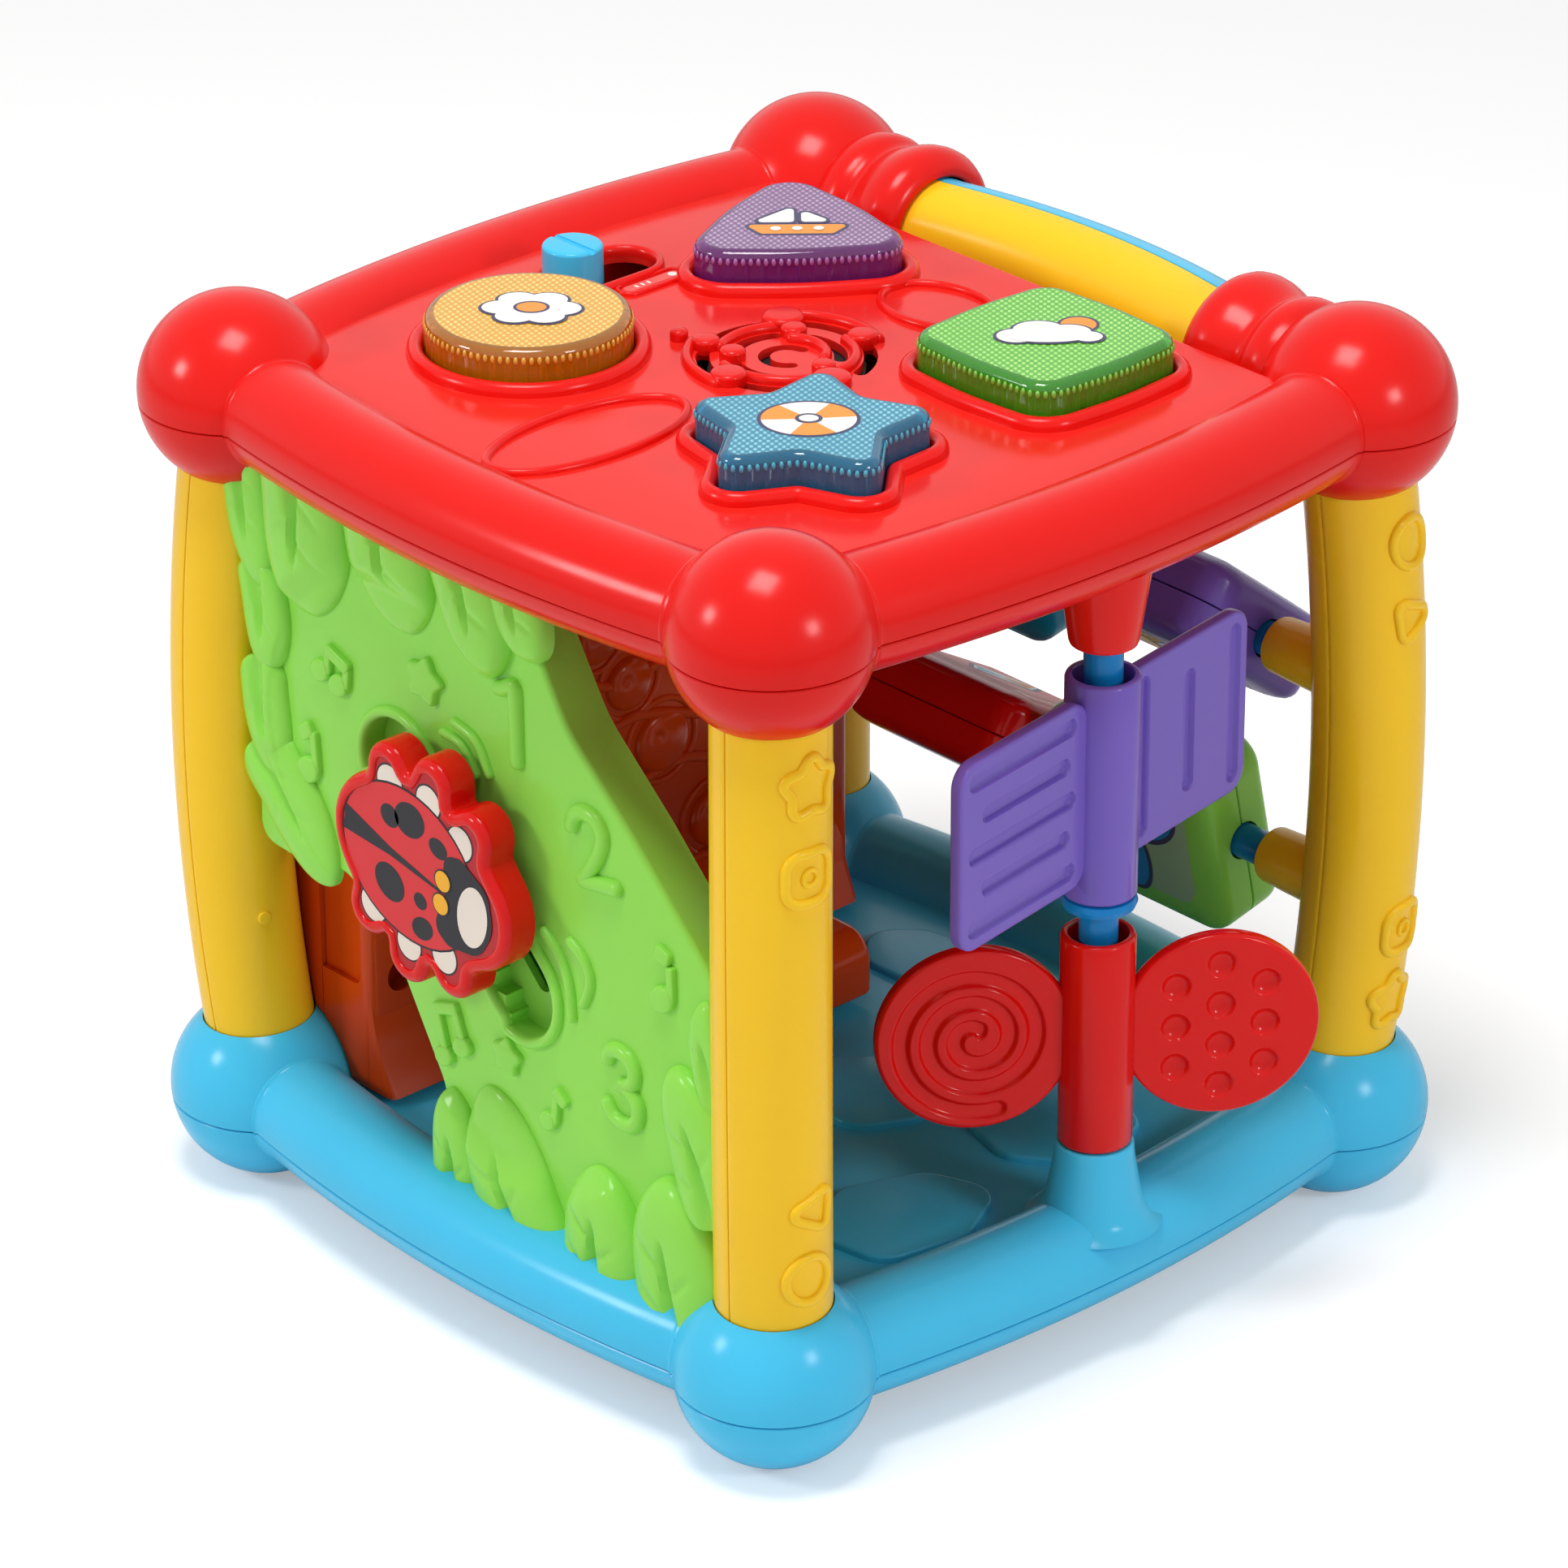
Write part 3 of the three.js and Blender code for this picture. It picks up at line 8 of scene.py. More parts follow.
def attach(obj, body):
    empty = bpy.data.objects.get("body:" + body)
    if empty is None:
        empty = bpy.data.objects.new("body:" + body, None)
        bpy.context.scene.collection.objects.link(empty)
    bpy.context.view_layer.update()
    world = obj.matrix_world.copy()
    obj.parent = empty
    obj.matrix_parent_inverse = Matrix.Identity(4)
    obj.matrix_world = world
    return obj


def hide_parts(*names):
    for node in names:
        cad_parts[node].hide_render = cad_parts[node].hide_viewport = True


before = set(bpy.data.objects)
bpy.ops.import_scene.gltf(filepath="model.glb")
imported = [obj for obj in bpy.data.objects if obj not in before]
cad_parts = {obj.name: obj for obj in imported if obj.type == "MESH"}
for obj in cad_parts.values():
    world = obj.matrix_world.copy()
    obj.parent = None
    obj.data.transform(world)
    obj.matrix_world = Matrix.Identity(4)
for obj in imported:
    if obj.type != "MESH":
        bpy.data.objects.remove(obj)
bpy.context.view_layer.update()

# Lengths are in millimetres from the middle of the cube's four feet. row() brings them to the frame's place.
mm = 0.001
cubeMiddle = Vector((-9.644372, -1.849837, 0.0))
gap = 0.3  # between pieces that are fitted to each other
ballRadius, ballHalf = 24.5, 96.5
lowerBall, upperBall = 24.1, 217.1
railRadius, railBow = 14.0, 10.5
panelTop = 226.1
corners = [(1, 1), (1, -1), (-1, -1), (-1, 1)]


def row(point):
    return (Vector(point) + cubeMiddle) * mm


def cosSin(degrees):
    return math.cos(math.radians(degrees)), math.sin(math.radians(degrees))


def quarterTurn(steps):
    return [math.pi / 2 * k / steps for k in range(steps + 1)]


def linear(hexColour):
    parts = [int(hexColour[i:i + 2], 16) / 255 for i in (1, 3, 5)]
    return tuple(c / 12.92 if c <= 0.04045 else ((c + 0.055) / 1.055) ** 2.4 for c in parts) + (1.0,)


def addNode(tree, kind, settings=None, inputs=None):
    node = tree.nodes.new(kind)
    for name, value in (settings or {}).items():
        setattr(node, name, value)
    for name, value in (inputs or {}).items():
        if isinstance(value, bpy.types.NodeSocket):
            tree.links.new(value, node.inputs[name])
        else:
            node.inputs[name].default_value = value
    return node


mats = {}


def emptyTree(owner):
    owner.use_nodes = True
    owner.node_tree.nodes.clear()
    return owner.node_tree


# A material under its name in mats. settings are the shader's plain values.
def newMaterial(name, settings):
    mats[name] = bpy.data.materials.new(name)
    tree = emptyTree(mats[name])
    shader = addNode(tree, "ShaderNodeBsdfPrincipled", inputs=settings)
    addNode(tree, "ShaderNodeOutputMaterial", inputs={"Surface": shader.outputs[0]})
    return tree, shader, addNode(tree, "ShaderNodeTexCoord").outputs["Object"]


def noise(tree, place, grainMm, detail):
    return addNode(tree, "ShaderNodeTexNoise",
                   inputs={"Vector": place, "Scale": 1 / (grainMm * mm), "Detail": detail}).outputs[0]


def maths(tree, operation, *values):
    return addNode(tree, "ShaderNodeMath", {"operation": operation}, dict(enumerate(values))).outputs[0]


def colourBetween(tree, shader, factor, first, second):
    mix = addNode(tree, "ShaderNodeMix", {"data_type": "RGBA"}, {"Factor": factor})
    mix.inputs["A"].default_value, mix.inputs["B"].default_value = first, second
    tree.links.new(mix.outputs["Result"], shader.inputs["Base Color"])


def bumped(tree, shader, height, strength, depthMm):
    bump = addNode(tree, "ShaderNodeBump", inputs={"Height": height, "Strength": strength,
                                                   "Distance": depthMm * mm})
    tree.links.new(bump.outputs[0], shader.inputs["Normal"])


def scaled(colour, factor):
    return tuple(c * factor for c in colour[:3]) + (1,)


def ramp(tree, value, low, high, toLow, toHigh):
    node = addNode(tree, "ShaderNodeMapRange", {"clamp": True}, {"Value": value})
    for name, number in zip(("From Min", "From Max", "To Min", "To Max"), (low, high, toLow, toHigh)):
        node.inputs[name].default_value = number
    return node.outputs[0]


# Injection-moulded plastic. The colour runs a little where the melt flowed, and the skin has the faint
# orange peel of a polished or a spark-eroded mould.
def moulded(name, colour, roughness, flow=0.04, peelMm=1.6, peelDepth=0.012, glow=0.06):
    base = linear(colour)
    settings = {"IOR": 1.49, "Specular IOR Level": 0.22}
    if glow:
        settings.update({"Subsurface Weight": glow, "Subsurface Scale": 3 * mm,
                         "Subsurface Radius": tuple(max(c, 0.05) for c in base[:3])})
    tree, shader, place = newMaterial(name, settings)
    light = tuple(min(c * (1 + flow) + flow * 0.02, 1) for c in base[:3]) + (1,)
    colourBetween(tree, shader, noise(tree, place, 38, 3.0), scaled(base, 1 - flow), light)
    rub = ramp(tree, noise(tree, place, 9, 4.0), 0.3, 0.7, roughness * 0.92, roughness * 1.1)
    tree.links.new(rub, shader.inputs["Roughness"])
    bumped(tree, shader, noise(tree, place, peelMm, 1.0), 0.35, peelDepth)


# ABS from a polished mould: deep colour, soft long highlights
for name, colour, roughness in (
        ("mouldedAbsRed", "#e3150f", 0.21), ("mouldedAbsBlue", "#46c2ee", 0.21),
        ("mouldedAbsOrange", "#d0430b", 0.2), ("mouldedAbsPurple", "#735abc", 0.2),
        ("mouldedAbsLilac", "#7961c0", 0.15), ("mouldedAbsTeal", "#1d8fb5", 0.22),
        ("mouldedAbsDeepRed", "#dc120f", 0.13), ("mouldedAbsRodBlue", "#1180c6", 0.17)):
    moulded(name, colour, roughness)
# the panel's field comes from the best polished part of the same mould, and mirrors what is round it
moulded("polishedAbsRed", "#e8241c", 0.16, flow=0.07, peelMm=9, peelDepth=0.02)
# polypropylene lets light in a little: a warm, waxy yellow
moulded("mouldedPpYellow", "#ffca22", 0.24, glow=0.12)
moulded("mouldedAbsGreen", "#94e055", 0.2, glow=0.1)
# acetal and silicone: dull whites with broad highlights
moulded("mouldedAcetalWhite", "#dcdcd8", 0.4)
moulded("siliconeWhite", "#d8d8d4", 0.6, glow=0.2)
print("materials made:", len(mats))


# A form is a list of points in mm and a list of faces.
def merged(*forms):
    points, faces = [], []
    for more, sides in forms:
        faces += [tuple(i + len(points) for i in face) for face in sides]
        points += list(more)
    return points, faces


def loft(rings, closed=True, capStart=True, capEnd=True):
    count = len(rings[0])
    points = [tuple(p) for ring in rings for p in ring]
    faces = []
    for k in range(len(rings) - 1):
        for i in range(count if closed else count - 1):
            j = (i + 1) % count
            faces.append((k * count + i, k * count + j, (k + 1) * count + j, (k + 1) * count + i))
    if capStart:
        faces.append(tuple(range(count))[::-1])
    if capEnd:
        faces.append(tuple(range(len(points) - count, len(points))))
    return points, faces


def flat(z):
    return lambda u, v, h: (u, v, z + h)


def facing(y):  # on an upright face that looks towards -Y
    return lambda u, v, h: (u, y - h, v)


def upright(x, y):  # about an upright axis
    return lambda u, v, h: (x + u, y + v, h)


def roundOutline(x, y, a, b=None, count=36, turn=0.0):
    b = b or a
    c, s = math.cos(turn), math.sin(turn)
    return [(x + a * math.cos(t) * c - b * math.sin(t) * s, y + a * math.cos(t) * s + b * math.sin(t) * c)
            for t in (2 * math.pi * k / count for k in range(count))]


def spun(profile, place, sides=64, capStart=True, capEnd=True):
    rings = [[place(max(r, 0.01) * math.cos(a), max(r, 0.01) * math.sin(a), h)
              for a in (2 * math.pi * i / sides for i in range(sides))] for r, h in profile]
    return loft(rings, True, capStart, capEnd)


def arc(cx, cy, radius, start, end, steps):
    turns = [cosSin(start + (end - start) * k / steps) for k in range(steps + 1)]
    return [(cx + radius * c, cy + radius * s) for c, s in turns]


def roundedOutline(cornerList, steps=10):
    outline = []
    for i, (x, y, rounding) in enumerate(cornerList):
        here = Vector((x, y))
        before = Vector(cornerList[i - 1][:2]) - here
        after = Vector(cornerList[(i + 1) % len(cornerList)][:2]) - here
        room = min(before.length, after.length) / 2
        before.normalize()
        after.normalize()
        angle = math.acos(max(-1, min(1, before.dot(after)))) / 2
        reach = min(rounding / math.tan(angle), room)
        radius = reach * math.tan(angle)
        centre = here + (before + after).normalized() * (radius / math.sin(angle))
        start, finish = here + before * reach - centre, here + after * reach - centre
        sweep = math.atan2(start.x * finish.y - start.y * finish.x, start.dot(finish))
        for k in range(steps + 1):
            c, s = math.cos(sweep * k / steps), math.sin(sweep * k / steps)
            outline.append((centre.x + start.x * c - start.y * s, centre.y + start.x * s + start.y * c))
    return outline


def grown(cornerList, width):
    moved = []
    for i, (x, y, rounding) in enumerate(cornerList):
        here = Vector((x, y))
        arriving = (here - Vector(cornerList[i - 1][:2])).normalized()
        leaving = (Vector(cornerList[(i + 1) % len(cornerList)][:2]) - here).normalized()
        out = Vector((arriving.y + leaving.y, -arriving.x - leaving.x))
        here = here + out * (width / (1 + arriving.dot(leaving)))
        turn = math.copysign(1, arriving.x * leaving.y - arriving.y * leaving.x)
        moved.append((here.x, here.y, max(rounding + turn * width, gap)))
    return moved


def rectangle(x0, y0, x1, y1, r):
    return [(x0, y0, r), (x1, y0, r), (x1, y1, r), (x0, y1, r)]


def evenly(outline, spacing, closed=True):
    ends = list(outline) + ([outline[0]] if closed else [])
    lengths = [math.dist(a, b) for a, b in zip(ends, ends[1:])]
    total = sum(lengths)
    count = max(int(round(total / spacing)), 3)
    result, walked, k = [], 0.0, 0
    for i in range(count if closed else count + 1):
        target = min(total * i / count, total - 1e-9)
        while walked + lengths[k] < target:
            walked += lengths[k]
            k += 1
        t = (target - walked) / lengths[k]
        result.append(tuple(a + (b - a) * t for a, b in zip(ends[k], ends[k + 1])))
    return result


def normals(path, closed=True):
    result = []
    for i in range(len(path)):
        a = path[i - 1] if closed or i else path[0]
        b = path[(i + 1) % len(path)] if closed or i + 1 < len(path) else path[-1]
        d = (Vector(b) - Vector(a)).normalized()
        result.append((d.y, -d.x))
    return result


def offset(path, width, closed=True):
    return [(x + nx * width, y + ny * width) for (x, y), (nx, ny) in zip(path, normals(path, closed))]


def movedTo(outline, x, y):
    return [(u + x, v + y) for u, v in outline]


# A flat-topped relief with a rounded edge, standing on the surface that place() describes.
def plateau(outline, height, radius, place, sink=0.4, steps=5):
    rings = [[place(x, y, -sink) for x, y in outline]]
    for a in quarterTurn(steps):
        inset = offset(outline, -radius * (1 - math.cos(a)))
        rings.append([place(x, y, height - radius + radius * math.sin(a)) for x, y in inset])
    return loft(rings)


# A raised round bead of some width and height along a path, with rounded ends where the path is open.
def bead(path, width, height, place, closed=False, sink=0.4, arch=8):
    section = [(-math.cos(math.pi * k / arch), math.sin(math.pi * k / arch) ** 0.8) for k in range(arch + 1)]
    stations = [(p, n, 1.0) for p, n in zip(path, normals(path, closed))]
    if not closed:
        for end, step in ((0, 1), (-1, -1)):
            (x, y), (nx, ny), _ = stations[end]
            dx, dy = (-ny * -step, nx * -step) if step > 0 else (-ny, nx)
            extra = []
            for k in range(1, 5):
                a = math.pi / 2 * k / 4
                reach, scale = width / 2 * math.sin(a), max(math.cos(a), 0.02)
                extra.append(((x + dx * reach, y + dy * reach), (nx, ny), scale))
            stations = extra[::-1] + stations if step > 0 else stations + extra
    rings = []
    for (x, y), (nx, ny), scale in stations:
        ring = [place(x + nx * a * width / 2 * scale, y + ny * a * width / 2 * scale,
                      h * height * scale ** 0.5)
                for a, h in section]
        foot = width / 2 * scale
        ring += [place(x + nx * foot, y + ny * foot, -sink), place(x - nx * foot, y - ny * foot, -sink)]
        rings.append(ring)
    if closed:
        rings.append(rings[0])
    return loft(rings, True, not closed, not closed)


def middleOf(outline):
    return [sum(p[i] for p in outline) / len(outline) for i in (0, 1)]


# A face whose height follows a function of the place on it, from its outline in to its middle.
def field(outline, place, height, rings, centre):
    cx, cy = centre
    made = []
    for k in range(rings + 1):
        share = 1 - 0.995 * k / rings
        ring = [(cx + (x - cx) * share, cy + (y - cy) * share) for x, y in outline]
        made.append([place(x, y, height(x, y)) for x, y in ring])
    return loft(made, True, False, True)


def meshObject(name, points, faces, weld):
    data = bpy.data.meshes.new(name)
    data.from_pydata(points, [], faces)
    shaped = bmesh.new()
    shaped.from_mesh(data)
    bmesh.ops.remove_doubles(shaped, verts=shaped.verts, dist=weld)
    bmesh.ops.recalc_face_normals(shaped, faces=shaped.faces)
    shaped.to_mesh(data)
    shaped.free()
    item = bpy.data.objects.new(name, data)
    bpy.context.scene.collection.objects.link(item)
    return item


def makePiece(name, form, material, body, *nodes, slot=None, sharp=38):
    points, faces = form
    piece = meshObject(name, [row(p) for p in points], faces, 1e-4 * mm)
    piece.data.materials.append(mats[material])
    shade(piece, sharp)
    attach(piece, body)
    if nodes:
        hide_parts(*nodes)
    return piece


def shade(piece, sharp=38):
    piece.data.polygons.foreach_set("use_smooth", [True] * len(piece.data.polygons))
    piece.data.set_sharp_from_angle(angle=math.radians(sharp))


# What is left of a form after others are cut from it.
def carved(form, *cutters):
    whole, *tools = (meshObject("brief", *shape, 1e-4) for shape in (form, *cutters))
    for tool in tools:
        modifier = whole.modifiers.new("cut", "BOOLEAN")
        modifier.object, modifier.operation, modifier.solver = tool, "DIFFERENCE", "EXACT"
    left = bpy.data.meshes.new_from_object(whole.evaluated_get(bpy.context.evaluated_depsgraph_get()))
    result = [tuple(v.co) for v in left.vertices], [tuple(f.vertices) for f in left.polygons]
    for holder in [whole, *tools]:
        bpy.data.objects.remove(holder)
    return result


def prism(outline, z0, z1):
    return loft([[(x, y, z) for x, y in outline] for z in (z0, z1)])


# Balls and rails come in an upper and a lower shell, which part a little under the balls' centres.
shell = {"seamDrop": 2.5, "lip": 1.4, "edge": 0.3, "tongue": 1.2, "fillet": 1.5, "steps": 30,
         "legRadius": 14.2, "legClearance": 0.35, "legRoom": (12, 40)}


def sectionOf(radius, upper):
    drop, lip, edge = shell["seamDrop"], shell["lip"], shell["edge"]
    seam = -drop if upper else -drop - gap
    side = math.sqrt(radius ** 2 - seam ** 2)
    a0 = math.asin(seam / radius) + (edge if upper else -edge) / radius
    start, end = (a0, math.pi - a0) if upper else (a0, -math.pi - a0)
    run = [(radius * math.cos(start + (end - start) * k / shell["steps"]),
            radius * math.sin(start + (end - start) * k / shell["steps"])) for k in range(shell["steps"] + 1)]
    tongue = seam + (0 if upper else shell["tongue"])
    foot = [(side - lip, tongue), (side - lip, seam), (side - edge, seam)]
    return foot + run + [(-x, z) for x, z in foot[::-1]]


def shellTube(stations, upper):
    rings = []
    for (x, y, z), (ox, oy), radius in stations:
        rings.append([(x + ox * a, y + oy * a, z + h) for a, h in sectionOf(radius, upper)])
    return loft(rings, False, False, False)


def railStations(z, quarter):
    f, r, big = shell["fillet"], railRadius, ballRadius
    away = math.sqrt((big + f) ** 2 - (r + f) ** 2)
    ends = [(17.0, (r + f) * big / (big + f))]
    for k in range(5):
        a = math.atan2(-(r + f), -away) + (math.radians(-90) - math.atan2(-(r + f), -away)) * k / 4
        ends.append((away + f * math.cos(a), r + f + f * math.sin(a)))
    inner = ballHalf - away
    stations = [(-ballHalf + d, radius) for d, radius in ends]
    stations += [(inner * (k / 14 - 1), r) for k in range(1, 28)]
    stations += [(ballHalf - d, radius) for d, radius in ends[::-1]]
    turn = Matrix.Rotation(math.pi / 2 * quarter, 2)
    result = []
    for x, radius in stations:
        slope = -2 * railBow * x / ballHalf ** 2
        out = turn @ Vector((-slope, 1)).normalized()
        at = turn @ Vector((x, ballHalf + railBow * (1 - (x / ballHalf) ** 2)))
        result.append(((at.x, at.y, z), (out.x, out.y), radius))
    return result


legBottom, legTop = 36.07, 205.13
# the seam of a leg or the grip: half its width, the depth of its lips and their soft edge
halves = {"gap": 0.15, "lip": 1.6, "soft": 0.3}


def legAt(z):
    s = (2 * z - legTop - legBottom) / (legTop - legBottom)
    return ballHalf + (0.2 + 5.5 * (1 - s * s)) * math.sqrt(0.5)


def legForm(corner, radius, z0, z1, steps=6, sides=64):
    rings = []
    for k in range(steps + 1):
        z = z0 + (z1 - z0) * k / steps
        rings.append([(corner[0] * legAt(z) + radius * math.cos(2 * math.pi * i / sides),
                       corner[1] * legAt(z) + radius * math.sin(2 * math.pi * i / sides), z)
                      for i in range(sides)])
    return loft(rings)


def ballHalfForm(corner, z, upper, foot=False):
    drop, lip, edge, big = shell["seamDrop"], shell["lip"], shell["edge"], ballRadius
    seam = -drop if upper else -drop - gap
    side = math.sqrt(big ** 2 - seam ** 2)
    a0 = math.asin(seam / big) + (edge if upper else -edge) / big
    last = math.pi / 2 if upper else (-math.asin(lowerBall / big) if foot else -math.pi / 2)
    tongue = seam + (0 if upper else shell["tongue"])
    profile = [(0, tongue), (side - lip, tongue), (side - lip, seam), (side - edge, seam)]
    profile += [(big * math.cos(a0 + (last - a0) * k / 32), big * math.sin(a0 + (last - a0) * k / 32))
                for k in range(33)]
    return spun([(r, z + h) for r, h in profile], upright(corner[0] * ballHalf, corner[1] * ballHalf), 96)


def frameShell(z, quarters, upper, legAbove):
    parts = []
    for corner in corners:
        half = ballHalfForm(corner, z, upper, foot=not upper and legAbove)
        if upper == legAbove:
            near, far = shell["legRoom"]
            levels = (z + near, z + far) if upper else (z - far, z - near)
            half = carved(half, legForm(corner, shell["legRadius"] + shell["legClearance"], *levels))
        parts.append(half)
    return parts + [shellTube(railStations(z, quarter), upper) for quarter in quarters]


base = {"floorTop": 26, "floorUnder": 16, "stoneHeight": 2.0, "stoneEdge": 0.9, "stoneRounding": 9,
        "coneTop": 53.6, "coneRadius": 9.7, "coneBore": 5.3, "coneEdge": 0.9}
stones = [  # x, y, half length, half width, turn
    (70, -28, 20, 26, 10), (62, 32, 23, 24, 40), (18, 8, 22, 19, 0), (34, -66, 19, 17, 25),
    (22, 58, 17, 20, 75), (-14, -52, 20, 24, 15), (-24, 68, 21, 15, 5), (66, 74, 13, 11, 0),
    (72, -74, 12, 12, 30)]
stoneShares = [0.92, 1.04, 0.9, 1.06, 0.96, 1.02]


def stoneForm(x, y, a, b, turn):
    cornerList = []
    for k, share in enumerate(stoneShares):
        angle = math.radians(turn + 360 * k / len(stoneShares))
        cornerList.append((x + a * share * math.cos(angle), y + b * share * math.sin(angle),
                           base["stoneRounding"]))
    return plateau(evenly(roundedOutline(cornerList, 6), 1.2), base["stoneHeight"], base["stoneEdge"],
                   flat(base["floorTop"]))


rodX = ballHalf + railBow  # the spinners' rod stands over the middle of a rail


def coneForm():
    high, bore, rounding = base["coneTop"], base["coneBore"], base["coneEdge"]
    edge = arc(base["coneRadius"] - rounding, high - rounding, rounding, 90, 10, 4)
    flare = [(9.9, 50), (10.5, 46), (11.2, 42), (12.0, 38), (12.9, 35.4), (14.4, 33.4), (17, 32)]
    profile = [(bore, high - 8), (bore, high - 0.4), (bore + 0.4, high), *edge, *flare]
    return spun(profile, upright(rodX, 0), 64, False, False)


floorPlate = prism(roundedOutline(rectangle(-ballHalf, -ballHalf, ballHalf, ballHalf, 4), 4),
                   base["floorUnder"], base["floorTop"])
makePiece("baseUpper", merged(*frameShell(lowerBall, range(4), True, True), floorPlate, coneForm(),
                              *(stoneForm(*stone) for stone in stones)),
          "mouldedAbsBlue", "frame", "base_upper_shell", slot="base_blue")
makePiece("baseLower", merged(*frameShell(lowerBall, range(4), False, True)),
          "mouldedAbsBlue", "frame", "base_lower_shell", slot="base_blue")
print("base made")


# The buttons: outlines about their own middles, as [x, y, rounding].
def pointed(tip, between, rounding, betweenRounding, turn, count):
    corner = []
    for k in range(2 * count):
        angle = math.radians(turn + 180 * k / count)
        reach = between if k % 2 else tip
        corner.append((reach * math.cos(angle), reach * math.sin(angle),
                       betweenRounding if k % 2 else rounding))
    return corner


squareCorners = [(25.4, 0, 90), (23.6, 23.6, 8), (0, 25.4, 90), (-23.6, 23.6, 8),
                 (-25.4, 0, 90), (-23.6, -23.6, 8), (0, -25.4, 90), (23.6, -23.6, 8)]
buttons = {
    "round": {"x": -49, "y": -43, "outline": roundOutline(0, 0, 25.4, count=160)},
    "triangle": {"x": -46.5, "y": 43, "outline": roundedOutline(pointed(35.2, 20.3, 9, 90, 21.5, 3))},
    "square": {"x": 47.5, "y": 38.4, "outline": roundedOutline(squareCorners)},
    "star": {"x": 46, "y": -38, "outline": roundedOutline(pointed(33, 19.6, 5, 5, 59, 5))},
}
lensLook = {"top": 236.6, "bottom": 221.3, "edge": 2.2, "wall": 1.9, "ribPitch": 4.2, "ribDepth": 0.5,
            "rim": 2.4, "dropZ": 233.8, "dropPitch": 1.9, "dropRadius": 0.6, "dropHalf": 1.1,
            "bezelOut": 2.55, "bezelWidth": 4.3, "bezelHeight": 3.2, "clearance": 0.55}


# The top housing: a polished field between the rails, with holes for buttons, switch and loudspeaker.
top = {"under": 223.7, "ceiling": 204.0, "wallY": 77, "cornerY": 88, "cornerX": 61, "edge": 1.0,
       "upperFrom": 214.9, "lowerTo": 214.6, "ceilingTop": 206.4}
topOutline = rectangle(-ballHalf, -ballHalf, ballHalf, top["wallY"], gap)
topRoom = roundedOutline(rectangle(-86, -86, 86, 74.6, 34), 8)  # the hollow inside the walls
cutZ = (215, 240)  # from inside the top to over its field
ovals = [(0, -67, 13.4, 29.4), (0, 48, 16.4, 11.9)]  # middle and half lengths
switch = {"x": -73.5, "y0": -7.5, "y1": 9.0, "radius": 8.1, "rim": 2.6, "rimHeight": 2.0}
grille = {"x": -3, "slot": 3.4, "innerSlot": 3.0, "inner": 10, "bossHeight": 2.9, "bossEdge": 1.2}


def oblong(radius):
    x = switch["x"]
    return arc(x, switch["y1"], radius, 0, 180, 12) + arc(x, switch["y0"], radius, 180, 360, 12)


def curvedSlot(radius, start, end, width):
    path = arc(grille["x"], 0, radius, start, end, 14)
    first, last = path[0], path[-1]
    side = offset(path, width / 2, False)
    other = offset(path, -width / 2, False)[::-1]
    return evenly(side + arc(last[0], last[1], width / 2, end, end + 180, 8)[1:-1] + other
                  + arc(first[0], first[1], width / 2, start + 180, start + 360, 8)[1:-1], 0.8)


def panelField():
    edge = top["edge"]
    rings = [[(x, y, top["upperFrom"]) for x, y in roundedOutline(topOutline, 2)]]
    for a in quarterTurn(5):
        inset = roundedOutline(grown(topOutline, -edge * (1 - math.cos(a))), 2)
        rings.append([(x, y, panelTop - edge + edge * math.sin(a)) for x, y in inset])
    cavity = prism(topRoom, 200, top["under"])
    holes = [prism(movedTo(offset(look["outline"], lensLook["clearance"]), look["x"], look["y"]), *cutZ)
             for look in buttons.values()]
    holes.append(prism(oblong(switch["radius"]), *cutZ))
    # curved slots over the loudspeaker, each a radius and two angles
    slots = [(20.5, 18, 62), (20.5, 84, 128), (20.5, 152, 200), (20.5, 222, 262), (20.5, 286, 336),
             (13.2, 40, 110), (13.2, 150, 215), (13.2, 250, 318), (5.6, 95, 330)]
    for r, a, b in slots:
        holes.append(prism(curvedSlot(r, a, b, grille["slot" if r > grille["inner"] else "innerSlot"]),
                           *cutZ))
    return carved(loft(rings), cavity, *holes)


def grilleRelief():
    place = flat(panelTop)
    spots = [(20.5, 73, 3.9), (20.5, 140, 5.3), (20.5, 211, 3.5), (20.5, 274, 4.5), (20.5, 349, 5.0),
             (13.2, 130, 3.3), (13.2, 232, 3.3), (13.2, 0, 3.0), (28.5, 205, 2.3)]
    parts = []
    for r, a, size in spots:
        c, s = cosSin(a)
        outline = roundOutline(grille["x"] + r * c, r * s, size)
        parts.append(plateau(outline, grille["bossHeight"], grille["bossEdge"], place, sink=0.8))
    bars = [(16.8, 8, 78), (16.8, 138, 212), (16.8, 254, 342), (24.4, 70, 140), (9.6, 30, 130),
            (24.4, 210, 274)]
    parts += [bead(arc(grille["x"], 0, r, a, b, 20), 3.0, 2.2, place) for r, a, b in bars]
    return merged(*parts)


def topBeads():
    place = flat(panelTop)
    parts = []
    for look in buttons.values():
        path = evenly(movedTo(offset(look["outline"], lensLook["bezelOut"]), look["x"], look["y"]), 1.0)
        parts.append(bead(path, lensLook["bezelWidth"], lensLook["bezelHeight"], place, closed=True, sink=0.8,
                          arch=12))
    parts.append(bead(evenly(oblong(switch["radius"] + switch["rim"] / 2), 1.0), switch["rim"],
                      switch["rimHeight"], place, closed=True, sink=0.8))
    parts += [bead(roundOutline(*oval, 120), 2.4, 1.6, place, closed=True) for oval in ovals]
    return merged(*parts, grilleRelief())


handle = {"grip": 51, "out": 1.5, "bow": 6, "radius": 14, "gripEnd": 54, "root": 9}


def handleAt(x):
    share = min(abs(x) / handle["grip"], 1)
    return ballHalf + handle["out"] + handle["bow"] * (1 - share ** 2)


